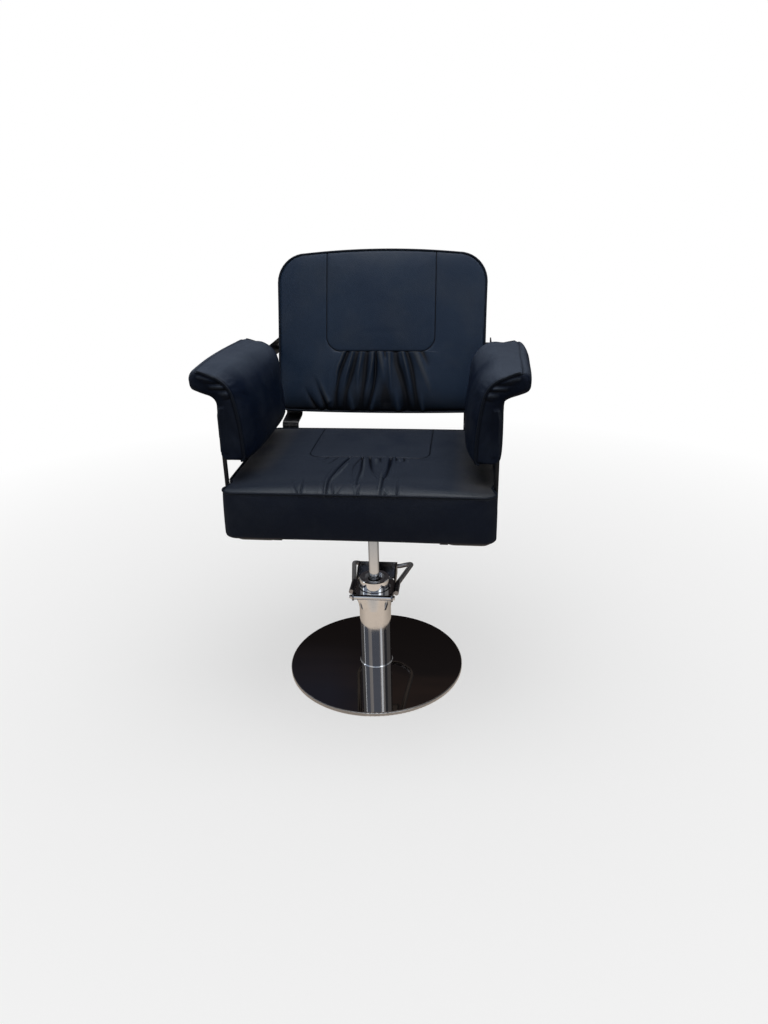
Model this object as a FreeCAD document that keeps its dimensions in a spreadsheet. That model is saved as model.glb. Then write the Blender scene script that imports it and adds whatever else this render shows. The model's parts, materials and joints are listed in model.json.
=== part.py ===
import FreeCAD, Part
import math
import os
import re

import Sketcher
from FreeCAD import Placement, Rotation, Vector

# A salon threading chair on a hydraulic pump. It faces -Y, +Z is up, and its origin is on the
# floor under the pump. Left and right are the sitter's, so the left arm is on the +X side.

# Lengths in millimetres
LENGTHS = {
    # Round base
    "base_diameter": 430,
    "floor_pad_inset": 4,
    "floor_pad_thickness": 2,
    "base_plate_thickness": 9,
    "base_edge_radius": 1.5,
    "base_cover_inset": 2,
    "base_cover_thickness": 1,
    "base_bolt_circle": 50,
    "base_bolt_diameter": 10,
    "base_bolt_head_diameter": 17,
    "base_bolt_head_height": 5,
    "base_bolt_reach": 12,
    # Pump body
    "column_diameter": 77,
    "column_wall": 2.5,
    "column_length": 201,
    "trim_ring_width": 2.5,
    "trim_ring_height": 2.5,
    "foot_height": 15,
    "cylinder_diameter": 48,
    "cylinder_wall": 5,
    "head_diameter": 73,
    "head_height": 36,
    "head_spigot": 7,
    "head_well_diameter": 48,
    "head_well_depth": 5,
    "head_chamfer": 1.5,
    "gland_diameter": 38,
    "gland_height": 10,
    "packing_height": 8,
    "wiper_height": 4,
    "wiper_width": 3,
    "filler_plug_diameter": 10,
    "filler_plug_height": 2.5,
    "filler_plug_reach": 6,
    # Ram
    "ram_diameter": 25,
    "ram_shoulder_diameter": 18,
    "ram_shoulder_length": 34,
    "piston_height": 20,
    "piston_floor_gap": 7,
    "piston_seal_height": 5,
    "piston_seal_depth": 3,
    "ram_nut_across": 24,
    "ram_nut_height": 5,
    "ram_stud_diameter": 14,
    # Pivot of the pedal
    "bracket_bottom": 172,
    "bracket_square_level": 211,
    "bracket_top": 222,
    "bracket_width": 88,
    "bracket_corner_radius": 15,
    "bracket_skirt": 1.2,
    "pivot_level": 216,
    "pivot_forward": 45,
    "pivot_barrel_diameter": 13,
    "pivot_pin_diameter": 7,
    "pivot_head_diameter": 12,
    "pivot_head_height": 4.5,
    "pivot_pin_end": 2.5,
    # Yoke and foot pedal
    "yoke_side_gap": 0.4,
    "yoke_sheet": 4,
    "yoke_eye_radius": 9,
    "yoke_web_reach": 125,
    "yoke_web_top": 245,
    "yoke_shelf_depth": 30,
    "yoke_shoulder": 85,
    "yoke_shoulder_slant": 12,
    "yoke_eye_flat": 4.5,
    "yoke_eye_slant": 8.1,
    "yoke_nose_half": 2.7,
    "pedal_rod_diameter": 12,
    "pedal_root_y": 4,
    "pedal_root_z": 216,
    "pedal_lap": 26,
    "pedal_bend_x": 78,
    "pedal_bend_y": 192,
    "pedal_bend_z": 186,
    "pedal_bar_y": 207,
    "pedal_bar_z": 168,
    "pedal_bar_half": 40,
    "pedal_bend_radius": 22,
    # Pump plunger behind the column
    "plunger_reach": 105,
    "plunger_diameter": 16,
    "plunger_button_diameter": 20,
    "plunger_button_height": 7,
    "plunger_dome_radius": 10,
    "plunger_bottom": 126,
    "barrel_diameter": 26,
    "barrel_bottom": 92,
    "barrel_top": 160,
    "barrel_floor": 3,
    "barrel_web_width": 18,
    "spring_wire": 2,
    "spring_diameter": 20.5,
    "spring_end_gap": 0.3,
    # Lift travel
    "lift_down": 130,
    "lift_up": 20,
    # Seat carrier
    "seat_bottom": 460,
    "seat_plate_margin": 25,
    "seat_plate_thickness": 6,
    "seat_plate_corner": 18,
    "hub_diameter": 58,
    "hub_neck_diameter": 44,
    "hub_height": 54,
    "hub_collar_height": 14,
    "bush_wall": 3,
    "seat_bolt_spacing": 170,
    "seat_bolt_diameter": 8,
    "seat_bolt_head_diameter": 16,
    "seat_bolt_head_height": 4,
    "tee_nut_diameter": 22,
    "tee_nut_flange": 1.5,
    "tee_nut_barrel_diameter": 11,
    "dust_cover_thickness": 0.8,
    "dust_cover_inset": 14,
    # Seat cushion and board
    "seat_width": 532,
    "seat_depth": 431,
    "seat_front": 248,
    "seat_border_height": 100,
    "seat_board_thickness": 15,
    "seat_board_inset": 16,
    "seat_corner_radius": 26,
    "seat_waist": 4,
    "seat_side_bow": 3,
    "seat_front_bow": 2,
    "seat_rear_bow": 2,
    "seat_crown_front": 5,
    "seat_crown_middle": 13,
    "seat_crown_rear": 7,
    "seat_shoulder": 9,
    "seat_seam_margin": 129,
    "seat_seam_line": 217,
    "seat_seam_radius": 32,
    # Back cushion, board and rear cover
    "back_side_inset": 16,
    "back_height": 382,
    "back_foot_gap": 17,
    "back_foot_rise": 42,
    "back_border_height": 46,
    "back_board_thickness": 12,
    "back_board_inset": 14,
    "back_bottom_radius": 26,
    "back_top_radius": 58,
    "back_waist": 3,
    "back_side_bow": 2,
    "back_bottom_bow": 1,
    "back_top_bow": 6,
    "back_crown_bottom": 5,
    "back_crown_middle": 14,
    "back_crown_top": 6,
    "back_shoulder": 8,
    "back_seam_margin": 118,
    "back_seam_line": 146,
    "back_seam_radius": 36,
    "back_cover_thickness": 12,
    "back_cover_inset": 3,
    # Seams and gathers shared by both cushions
    "seam_width": 3,
    "seam_depth": 2.5,
    "fold_narrow": 2.5,
    "fold_wide": 6,
    "fold_depth": 3,
    "fold_margin": 12,
    "crown_run_out": 12,
    # Arm pads, gull-wing section extruded from front to rear
    "arm_lap": 38,
    "arm_section_width": 104,
    "arm_clearance": 51,
    "arm_section_height": 184,
    "arm_front_margin": 45,
    "arm_rear_margin": 29,
    "arm_inner_bulge": 12,
    # Arm rods, plates and boards
    "arm_rod_diameter": 9,
    "arm_rod_gap": 2,
    "arm_rod_front_margin": 7,
    "arm_rod_rear_margin": 16,
    "arm_rod_sink": 91,
    "arm_rod_bend": 24,
    "arm_plate_thickness": 3,
    "arm_plate_front_margin": 23,
    "arm_plate_rear_margin": 26,
    "arm_plate_rise": 29,
    "arm_plate_height": 92,
    "arm_tongue_lap": 4,
    "arm_tongue_height": 34,
    "arm_tongue_forward": 60,
    "arm_tongue_reach": 22,
    "arm_board_thickness": 14,
    "arm_board_margin": 8,
    "arm_screw_diameter": 5,
    "arm_screw_head_diameter": 9,
    "arm_screw_head_height": 2,
    "arm_screw_margin": 24,
    "arm_screw_reach": 11.2,
    "rail_side_margin": 86,
    "rail_width": 17,
    "rail_height": 16.2,
    "rail_front_margin": 34,
    "rail_rear_margin": 25,
    "rail_screw_diameter": 6,
    "rail_screw_head_diameter": 11,
    "rail_screw_head_height": 3,
    "rail_screw_reach": 12,
    "rail_screw_front_margin": 64,
    "rail_screw_rear_margin": 63,
    # Straps that carry the back, and the links from the arms
    "strap_side_margin": 21,
    "strap_width": 40,
    "strap_thickness": 5,
    "strap_run": 121,
    "strap_rise_gap": 7.5,
    "strap_kink_rise": 13,
    "strap_drop": 9,
    "strap_lap": 110,
    "strap_bend": 9,
    "strap_screw_first": 26,
    "strap_screw_second": 78,
    "strap_screw_diameter": 6,
    "strap_screw_head_diameter": 12,
    "strap_screw_head_height": 3,
    "strap_screw_reach": 10,
    "link_screw_diameter": 8,
    "link_screw_head_diameter": 14,
    "link_screw_head_height": 4,
    "link_screw_reach": 34,
    "link_spacer_diameter": 18,
    # Clearances, and the overrun of every cut
    "running_gap": 0.05,
    "seat_gap": 0.05,
    "soft_gap": 0.3,
    "overrun": 2,
}

ANGLES = {
    "back_lean_angle": 16.3,
}

COUNTS = {
    "spring_turn_count": 9,
}

# Outline of the arm section as shares of its width, outwards, and of its height: each row is
# the end of an edge, and where the edge is an arc, a point that the arc goes through.
ARM_SECTION_SHARES = [
    ((0.820, 1.000), None),
    ((0.505, 0.935), (0.668, 0.975)),
    ((0.125, 0.700), (0.255, 0.848)),
    ((0.010, 0.070), (0.040, 0.390)),
    ((0.115, 0.000), (0.030, 0.018)),
    ((0.330, 0.000), None),
    ((0.475, 0.085), (0.440, 0.018)),
    ((0.475, 0.600), None),
    ((0.640, 0.752), (0.520, 0.705)),
    ((0.920, 0.815), None),
    ((1.000, 0.885), (0.985, 0.835)),
    ((0.820, 1.000), (0.955, 0.968)),
]
# How much of the bulge each of those points takes half way along the arm
ARM_BULGE_SHARES = [0, 0.3, 1, 1, 0.5, 0, 0, 0, 0, 0, 0, 0]
ARM_BULGE_VIA_SHARES = [0, 0.1, 0.8, 1, 0.9, 0, 0, 0, 0, 0, 0, 0]

# Gathers: where each fold starts on the cross seam, and where it ends at the edge, as shares
# of the seam's half width
SEAT_FOLD_SHARES = [
    (-0.34, -0.52),
    (-0.20, -0.34),
    (-0.06, -0.12),
    (0.08, 0.02),
    (0.20, 0.16),
    (0.34, 0.40),
]
BACK_FOLD_SHARES = [
    (-0.66, -0.86),
    (-0.50, -0.56),
    (-0.34, -0.34),
    (-0.18, -0.17),
    (-0.02, 0.00),
    (0.14, 0.18),
    (0.30, 0.36),
    (0.48, 0.58),
]

# Places worked out from the lengths, each by a formula
PLACES = {
    "base_plate_top": "floor_pad_thickness + base_plate_thickness",
    "base_top": "base_plate_top + base_cover_thickness",
    "column_radius": "column_diameter / 2",
    "column_bore": "column_radius - column_wall",
    "column_top": "base_plate_top + column_length",
    "foot_top": "base_plate_top + foot_height",
    "cylinder_bore": "cylinder_diameter / 2 - cylinder_wall",
    "head_bottom": "column_top - head_spigot",
    "head_top": "column_top + head_height",
    "ram_radius": "ram_diameter / 2",
    "gland_top": "head_top - head_well_depth",
    "gland_bottom": "gland_top - gland_height",
    "packing_bottom": "gland_bottom - packing_height",
    "piston_bottom": "foot_top + piston_floor_gap + lift_down",
    "piston_top": "piston_bottom + piston_height",
    "hub_top": "seat_bottom - seat_plate_thickness",
    "hub_bottom": "hub_top - hub_height",
    "ram_top": "hub_top - seat_plate_thickness",
    "ram_shoulder": "ram_top - ram_shoulder_length",
    "bracket_half": "bracket_width / 2",
    "yoke_inner": "bracket_half + yoke_side_gap",
    "yoke_outer": "yoke_inner + yoke_sheet",
    "yoke_web": "yoke_web_reach - pivot_forward",
    "plunger_y": "plunger_reach - pivot_forward",
    "plunger_top": "pivot_level - spring_end_gap",
    "button_bottom": "plunger_top - plunger_button_height",
    "pedal_rod_radius": "pedal_rod_diameter / 2",
    "pedal_root_x": "yoke_outer + pedal_rod_radius",
    "board_top": "seat_bottom + seat_board_thickness",
    "seat_plate_width": "seat_bolt_spacing + seat_plate_margin * 2",
    "seat_border": "seat_bottom + seat_border_height",
    "seat_rear": "seat_depth - seat_front",
    "seat_seam_half": "seat_width / 2 - seat_seam_margin",
    "back_width": "seat_width - back_side_inset * 2",
    "back_seam_half": "back_width / 2 - back_seam_margin",
    "back_foot_y": "seat_rear + back_foot_gap",
    "back_foot_z": "seat_border + back_foot_rise",
    "rail_top": "seat_bottom - dust_cover_thickness",
    "rail_bottom": "rail_top - rail_height",
    "rail_inner": "seat_width / 2 - rail_side_margin - rail_width",
    "rail_front": "seat_front - rail_front_margin",
    "rail_rear": "seat_rear - rail_rear_margin",
    "rail_screw_front": "rail_front - rail_screw_front_margin",
    "rail_screw_rear": "rail_rear - rail_screw_rear_margin",
    "arm_bottom": "seat_border + arm_clearance",
    "arm_inner": "seat_width / 2 - arm_lap",
    "arm_front": "seat_front - arm_front_margin",
    "arm_rear": "seat_rear - arm_rear_margin",
    "arm_rod_x": "seat_width / 2 + arm_rod_gap + arm_rod_diameter / 2",
    "arm_rod_front": "arm_front - arm_rod_front_margin",
    "arm_rod_rear": "arm_rear - arm_rod_rear_margin",
    "arm_rod_level": "rail_bottom - arm_rod_diameter / 2",
    "arm_rod_top": "arm_bottom + arm_rod_sink",
    "arm_plate_bottom": "arm_bottom + arm_plate_rise",
    "arm_plate_top": "arm_plate_bottom + arm_plate_height",
    "arm_tongue_bottom": "arm_plate_top - arm_tongue_lap",
    "arm_tongue_top": "arm_tongue_bottom + arm_tongue_height",
    "arm_plate_front": "arm_front - arm_plate_front_margin",
    "arm_plate_rear": "arm_rear - arm_plate_rear_margin",
    "arm_plate_outer": "arm_rod_x - arm_rod_diameter / 2",
    "arm_plate_inner": "arm_plate_outer - arm_plate_thickness",
    "arm_board_inner": "arm_plate_inner - arm_board_thickness",
    "strap_mid": "seat_width / 2 - strap_side_margin - strap_width / 2",
    "strap_front": "seat_rear - strap_run",
    "strap_rise_y": "seat_rear + strap_rise_gap",
    "strap_kink_z": "seat_border + strap_kink_rise",
    "link_level": "(arm_tongue_bottom + arm_tongue_top) / 2",
}

doc = FreeCAD.newDocument("threading_chair")
sizes = doc.addObject("Spreadsheet::Sheet", "Sizes")
for row, (word, number) in enumerate({**LENGTHS, **ANGLES, **COUNTS}.items(), start=1):
    sizes.set(f"A{row}", word)
    sizes.set(f"B{row}", str(number))
    sizes.setAlias(f"B{row}", word)
doc.recompute()
places = doc.addObject("Spreadsheet::Sheet", "Places")
NODES = []


def bound(text):
    """An expression in which each plain word points at its cell."""

    def cell(match):
        word = match.group(0)
        if word in PLACES:
            return "Places." + word
        if word in LENGTHS or word in ANGLES or word in COUNTS:
            return "Sizes." + word
        return word

    return re.sub(r"[a-z_]+", cell, text)


for row, (word, formula) in enumerate(PLACES.items(), start=1):
    places.set(f"A{row}", word)
    places.set(f"B{row}", "=" + bound(formula))
    places.setAlias(f"B{row}", word)
    doc.recompute()


def value(text):
    """The number that an expression gives now."""
    return float(sizes.evalExpression(bound(text)))


# How pieces are made


def keep(obj, node):
    """Names the object that is a finished sub-part."""
    obj.Label = node
    NODES.append(obj)
    return obj


def place(obj, x="0", y="0", z="0"):
    for axis, text in zip("xyz", (x, y, z)):
        if text != "0":
            obj.setExpression(".Placement.Base." + axis, bound(text))


def new_body(name):
    return doc.addObject("PartDesign::Body", name)


def new_sketch(body, plane, level="0"):
    """A sketch on one of the body's own origin planes, lifted by a level."""
    sketch = body.newObject("Sketcher::SketchObject", "Sketch")
    support = [item for item in body.Origin.OriginFeatures if item.Role == plane][0]
    sketch.AttachmentSupport = (support, [""])
    sketch.MapMode = "FlatFace"
    if level != "0":
        sketch.setExpression(".AttachmentOffset.Base.z", bound(level))
    return sketch


def pin_down(sketch, index, point, across, along):
    """Ties one point of a sketch to expressions for its two coordinates."""
    for kind, axis, text in (("DistanceX", -2, across), ("DistanceY", -1, along)):
        if text == "0":
            sketch.addConstraint(Sketcher.Constraint("PointOnObject", index, point, axis))
        else:
            constraint = Sketcher.Constraint(kind, index, point, value(text))
            number = sketch.addConstraint(constraint)
            sketch.setExpression(f"Constraints[{number}]", bound(text))


def draw_polygon(sketch, corners):
    """Straight lines through corners, each a pair of expressions."""
    points = [Vector(value(across), value(along), 0) for across, along in corners]
    first = sketch.GeometryCount
    total = len(points)
    for index in range(total):
        line = Part.LineSegment(points[index], points[(index + 1) % total])
        sketch.addGeometry(line, False)
    for index in range(total):
        following = first + (index + 1) % total
        sketch.addConstraint(Sketcher.Constraint("Coincident", first + index, 2, following, 1))
    for index, (across, along) in enumerate(corners):
        pin_down(sketch, first + index, 1, across, along)


def draw_circles(sketch, centres, radius):
    for across, along in centres:
        middle = Vector(value(across), value(along), 0)
        circle = Part.Circle(middle, Vector(0, 0, 1), value(radius))
        index = sketch.addGeometry(circle, False)
        number = sketch.addConstraint(Sketcher.Constraint("Radius", index, value(radius)))
        sketch.setExpression(f"Constraints[{number}]", bound(radius))
        pin_down(sketch, index, 3, across, along)


def turned(name, corners):
    """A body turned about Z: corners are pairs of a radius and a level."""
    body = new_body(name)
    sketch = new_sketch(body, "XZ_Plane")
    draw_polygon(sketch, corners)
    turning = body.newObject("PartDesign::Revolution", "Turning")
    turning.Profile = sketch
    turning.ReferenceAxis = (sketch, ["V_Axis"])
    turning.Angle = 360
    doc.recompute()
    return body


def padded_sketch(body, sketch, length, midplane=False):
    pad = body.newObject("PartDesign::Pad", "Pad")
    pad.Profile = sketch
    pad.setExpression("Length", bound(length))
    pad.Midplane = midplane
    doc.recompute()
    return pad


def drilled(body, centres, radius, level, depth, upwards=False):
    """Round holes along Z from a level, downwards unless told upwards."""
    sketch = new_sketch(body, "XY_Plane", level)
    draw_circles(sketch, centres, radius)
    pocket = body.newObject("PartDesign::Pocket", "Holes")
    pocket.Profile = sketch
    pocket.setExpression("Length", bound(depth))
    pocket.Reversed = upwards
    doc.recompute()


def block(name, low, high):
    box = doc.addObject("Part::Box", name)
    for axis, side, start, end in zip("xyz", ("Length", "Width", "Height"), low, high):
        box.setExpression(side, bound(f"({end}) - ({start})"))
        box.setExpression(".Placement.Base." + axis, bound(start))
    return box


TURNS = {
    "up": Rotation(),
    "down": Rotation(Vector(1, 0, 0), 180),
    "left": Rotation(Vector(0, 1, 0), 90),
    "right": Rotation(Vector(0, 1, 0), -90),
    "back": Rotation(Vector(1, 0, 0), -90),
    "forward": Rotation(Vector(1, 0, 0), 90),
}


def bar(name, start, heading, radius, length):
    """A round bar from a point, heading one of the six ways in TURNS."""
    cylinder = doc.addObject("Part::Cylinder", name)
    cylinder.setExpression("Radius", bound(radius))
    cylinder.setExpression("Height", bound(length))
    cylinder.Placement = Placement(Vector(), TURNS[heading])
    place(cylinder, *start)
    return cylinder


def hexagon(name, start, heading, across, length):
    """A six-sided head or nut, measured across its corners."""
    prism = doc.addObject("Part::Prism", name)
    prism.Polygon = 6
    prism.setExpression("Circumradius", bound(f"({across}) / 2"))
    prism.setExpression("Height", bound(length))
    prism.Placement = Placement(Vector(), TURNS[heading])
    place(prism, *start)
    return prism


def joined(name, pieces):
    fusion = doc.addObject("Part::MultiFuse", name)
    fusion.Shapes = pieces
    return fusion


def group(name, pieces):
    """Like fasteners in one node, as separate solids."""
    compound = doc.addObject("Part::Compound", name)
    compound.Links = pieces
    return compound


def less(name, base, tools):
    """A base with tools taken out of it."""
    cut = doc.addObject("Part::Cut", name)
    cut.Base = base
    cut.Tool = tools[0] if len(tools) == 1 else joined(name + "_tools", tools)
    return cut


def feature(name, shape):
    """A solid made with the geometry functions, where its sizes are read from the sheet."""
    solid = doc.addObject("Part::Feature", name)
    solid.Shape = shape
    return solid


OPPOSITE = {
    "up": "down",
    "down": "up",
    "left": "right",
    "right": "left",
    "back": "forward",
    "forward": "back",
}


def screw(name, seat, heading, sizes_of, reach, six_sided=False):
    """A screw whose head sits on a seat and whose shank heads into the work."""
    shape = hexagon if six_sided else bar
    width = sizes_of + "_head_diameter"
    if not six_sided:
        width += " / 2"
    head = shape(name + "_head", seat, OPPOSITE[heading], width, sizes_of + "_head_height")
    shank = bar(name + "_shank", seat, heading, sizes_of + "_diameter / 2", reach)
    return joined(name, [head, shank])


SIDES = (("left", 1), ("right", -1))


def on_side(sign, text):
    """A place across the chair, on the left for sign 1 and on the right for -1."""
    return text if sign > 0 else f"-({text})"


def side_block(name, sign, low, high):
    """A box given for the left side, or its mirror image."""
    if sign > 0:
        return block(name, low, high)
    flipped_low = (f"-({high[0]})", low[1], low[2])
    flipped_high = (f"-({low[0]})", high[1], high[2])
    return block(name, flipped_low, flipped_high)


def outwards(sign):
    return "left" if sign > 0 else "right"


def inwards(sign):
    return OPPOSITE[outwards(sign)]


# Geometry that no single sketch holds


def path_wire(points, radii):
    """Straight runs through points, with a tangent arc of its radius at each inner point."""
    edges = []
    start = points[0]
    for index in range(1, len(points) - 1):
        corner = points[index]
        back = (points[index - 1] - corner).normalize()
        ahead = (points[index + 1] - corner).normalize()
        half = back.getAngle(ahead) / 2
        trim = radii[index - 1] / math.tan(half)
        first = corner + back * trim
        last = corner + ahead * trim
        bisector = (back + ahead).normalize()
        middle = corner + bisector * (radii[index - 1] / math.sin(half) - radii[index - 1])
        if (first - start).Length > value("running_gap"):
            edges.append(Part.LineSegment(start, first).toShape())
        edges.append(Part.Arc(first, middle, last).toShape())
        start = last
    edges.append(Part.LineSegment(start, points[-1]).toShape())
    return Part.Wire(edges)


def round_rod(points, radii, radius):
    """A bent round rod."""
    path = path_wire(points, radii)
    heading = points[1] - points[0]
    ring = Part.Wire([Part.Circle(points[0], heading, radius).toShape()])
    rod = path.makePipeShell([ring], True, False)
    return rod


def flat_strip(points, radii, half_width, half_thickness):
    """A bent flat bar whose bends are all about X."""
    path = path_wire(points, radii)
    along = (points[1] - points[0]).normalize()
    across = Vector(1, 0, 0)
    normal = along.cross(across)
    corners = [
        points[0] + across * half_width + normal * half_thickness,
        points[0] - across * half_width + normal * half_thickness,
        points[0] - across * half_width - normal * half_thickness,
        points[0] + across * half_width - normal * half_thickness,
    ]
    section = Part.makePolygon(corners + corners[:1])
    return path.makePipeShell([section], True, False)


def prism(corners, depth):
    """A solid from a flat closed outline of points, pulled along a vector."""
    face = Part.Face(Part.makePolygon(corners + corners[:1]))
    return face.extrude(depth)


def edge_through(start, via, end):
    if via is None:
        return Part.LineSegment(start, end).toShape()
    return Part.Arc(start, via, end).toShape()


def spring_wire_path(radius, bottom, top, turns, middle):
    """A helix about Z as biarcs of a quarter turn."""
    steps = 4 * turns
    rise = (top - bottom) / steps

    def point(step):
        angle = step * math.pi / 2
        flat = Vector(math.cos(angle), math.sin(angle), 0) * radius
        return middle + flat + Vector(0, 0, bottom + rise * step)

    def heading(step):
        angle = step * math.pi / 2
        flat = Vector(-math.sin(angle), math.cos(angle), 0) * radius * math.pi / 2
        return (flat + Vector(0, 0, rise)).normalize()

    def arc(start, direction, end):
        chord = end - start
        reach = chord.Length / 2
        share = direction.getAngle(chord)
        control = start + direction * (reach / math.cos(share))
        weight = math.cos(share)
        via = (start + control * (2 * weight) + end) * (1 / (2 + 2 * weight))
        return Part.Arc(start, via, end).toShape()

    edges = []
    for step in range(steps):
        first, last = point(step), point(step + 1)
        enter, leave = heading(step), heading(step + 1)
        gap = last - first
        both = enter + leave
        spread = 2 * (1 - enter.dot(leave))
        dot = gap.dot(both)
        reach = (-dot + math.sqrt(dot * dot + spread * gap.dot(gap))) / spread
        halfway = (first + last + (enter - leave) * reach) * 0.5
        edges.append(arc(first, enter, halfway))
        edges.append(arc(halfway, (last - leave * reach - halfway).normalize(), last))
    return Part.Wire(edges)


def rounded_ring(sizes_of, inset, level):
    """The plan outline of a cushion at a level, with its sides bowed between the corners."""
    half = value(sizes_of["width"]) / 2 - inset
    near = inset
    far = value(sizes_of["length"]) - inset
    near_r = max(value(sizes_of["near_radius"]) - inset, value("seam_width"))
    far_r = max(value(sizes_of["far_radius"]) - inset, value("seam_width"))
    side_bow = value(sizes_of["side_bow"])
    near_bow = value(sizes_of["near_bow"])
    far_bow = value(sizes_of["far_bow"])
    cut = 1 - math.sqrt(0.5)

    def spot(x, y):
        return Vector(x, y, level)

    middle = (near + far) / 2
    stops = [
        (spot(-half + near_r, near), spot(0, near + near_bow), spot(half - near_r, near)),
        (None, spot(half - near_r * cut, near + near_r * cut), spot(half, near + near_r)),
        (None, spot(half - side_bow, middle), spot(half, far - far_r)),
        (None, spot(half - far_r * cut, far - far_r * cut), spot(half - far_r, far)),
        (None, spot(0, far + far_bow), spot(-half + far_r, far)),
        (None, spot(-half + far_r * cut, far - far_r * cut), spot(-half, far - far_r)),
        (None, spot(-half + side_bow, middle), spot(-half, near + near_r)),
        (None, spot(-half + near_r * cut, near + near_r * cut), spot(-half + near_r, near)),
    ]
    edges = []
    start = stops[0][0]
    for first, via, end in stops:
        start = first or start
        edges.append(Part.Arc(start, via, end).toShape())
        start = end
    return Part.Wire(edges)


def crown_rise(sizes_of, share):
    """The crown's height over the border on the centre line, at a share of the length."""
    near, middle, far = (value(sizes_of["crown_" + where]) for where in ("near", "middle", "far"))
    return near * (1 - share) * (1 - 2 * share) + 4 * middle * share * (1 - share) + far * share * (2 * share - 1)


def crown_block(sizes_of, drop):
    """Everything under the crowned show face, lowered by a drop."""
    over = value("overrun")
    half = value(sizes_of["width"]) / 2
    length = value(sizes_of["length"])
    border = value(sizes_of["border"]) - drop
    wires = []
    for share in (0, 0.5, 1):
        y = length * share + value("crown_run_out") * (2 * share - 1)
        top = border + crown_rise(sizes_of, share)
        low_left = Vector(-half - over, y, -over)
        low_right = Vector(half + over, y, -over)
        left = Vector(-half - over, y, border)
        right = Vector(half + over, y, border)
        edges = [
            Part.LineSegment(low_left, low_right).toShape(),
            Part.LineSegment(low_right, right).toShape(),
            Part.Arc(right, Vector(0, y, top), left).toShape(),
            Part.LineSegment(left, low_left).toShape(),
        ]
        wires.append(Part.Wire(edges))
    return Part.makeLoft(wires, True, False)


def seam_plate(sizes_of, spread, height):
    """The plan of the middle panel out to its seam, run past the far edge, as a block."""
    half = value(sizes_of["seam_half"]) + spread
    line = value(sizes_of["seam_line"]) - spread
    radius = value(sizes_of["seam_radius"]) + spread
    far = value(sizes_of["length"]) + value(sizes_of["far_bow"]) + value("overrun")
    cut = 1 - math.sqrt(0.5)
    points = [
        (Vector(-half, far, 0), None, Vector(-half, line + radius, 0)),
        (None, Vector(-half + radius * cut, line + radius * cut, 0), Vector(-half + radius, line, 0)),
        (None, None, Vector(half - radius, line, 0)),
        (None, Vector(half - radius * cut, line + radius * cut, 0), Vector(half, line + radius, 0)),
        (None, None, Vector(half, far, 0)),
        (None, None, Vector(-half, far, 0)),
    ]
    edges = []
    start = points[0][0]
    for first, via, end in points:
        start = first or start
        edges.append(edge_through(start, via, end))
        start = end
    return Part.Face(Part.Wire(edges)).extrude(Vector(0, 0, height))


def cushion_shape(sizes_of, fold_shares):
    """A cushion lying on its base: drawn-in sides, a crown, a U seam and its gathers."""
    border = value(sizes_of["border"])
    waist = value(sizes_of["waist"])
    shoulder = value(sizes_of["shoulder"])
    lip = max(crown_rise(sizes_of, share) for share in (0, 0.5, 1)) + value("overrun")
    rings = [rounded_ring(sizes_of, inset, level) for inset, level in
             ((0, 0), (waist, border / 2), (0, border))]
    sides = Part.makeLoft(rings, True, False)
    top = Part.makeLoft(
        [rounded_ring(sizes_of, 0, border), rounded_ring(sizes_of, shoulder, border + lip)], True, True
    )
    solid = sides.fuse(top).common(crown_block(sizes_of, 0))
    # the sewn line of the middle panel, a channel of even depth
    half_seam = value("seam_width") / 2
    tall = border + lip + value("overrun")
    band = seam_plate(sizes_of, half_seam, tall).cut(seam_plate(sizes_of, -half_seam, tall))
    solid = solid.cut(band.cut(crown_block(sizes_of, value("seam_depth"))))
    # the gathers between that line and the near edge
    half = value(sizes_of["width"]) / 2
    length = value(sizes_of["length"])
    line = value(sizes_of["seam_line"]) - half_seam
    edge = value("fold_margin")
    for start_share, end_share in fold_shares:
        ends = []
        for share, y, radius in (
            (start_share, line, value("fold_narrow")),
            (end_share, edge, value("fold_wide")),
        ):
            x = share * value(sizes_of["seam_half"])
            crown = crown_rise(sizes_of, y / length) * (1 - (x / half) ** 2)
            ends.append(Vector(x, y, border + crown + radius - value("fold_depth")))
        run = ends[1] - ends[0]
        cone = Part.makeCone(value("fold_narrow"), value("fold_wide"), run.Length, ends[0], run)
        solid = solid.cut(cone)
    return solid


SEAT = {
    "width": "seat_width",
    "length": "seat_depth",
    "border": "seat_border_height",
    "near_radius": "seat_corner_radius",
    "far_radius": "seat_corner_radius",
    "side_bow": "seat_side_bow",
    "near_bow": "seat_front_bow",
    "far_bow": "seat_rear_bow",
    "waist": "seat_waist",
    "shoulder": "seat_shoulder",
    "crown_near": "seat_crown_front",
    "crown_middle": "seat_crown_middle",
    "crown_far": "seat_crown_rear",
    "seam_half": "seat_seam_half",
    "seam_line": "seat_seam_line",
    "seam_radius": "seat_seam_radius",
}

BACK = {
    "width": "back_width",
    "length": "back_height",
    "border": "back_border_height",
    "near_radius": "back_bottom_radius",
    "far_radius": "back_top_radius",
    "side_bow": "back_side_bow",
    "near_bow": "back_bottom_bow",
    "far_bow": "back_top_bow",
    "waist": "back_waist",
    "shoulder": "back_shoulder",
    "crown_near": "back_crown_bottom",
    "crown_middle": "back_crown_middle",
    "crown_far": "back_crown_top",
    "seam_half": "back_seam_half",
    "seam_line": "back_seam_line",
    "seam_radius": "back_seam_radius",
}


# Base


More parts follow.
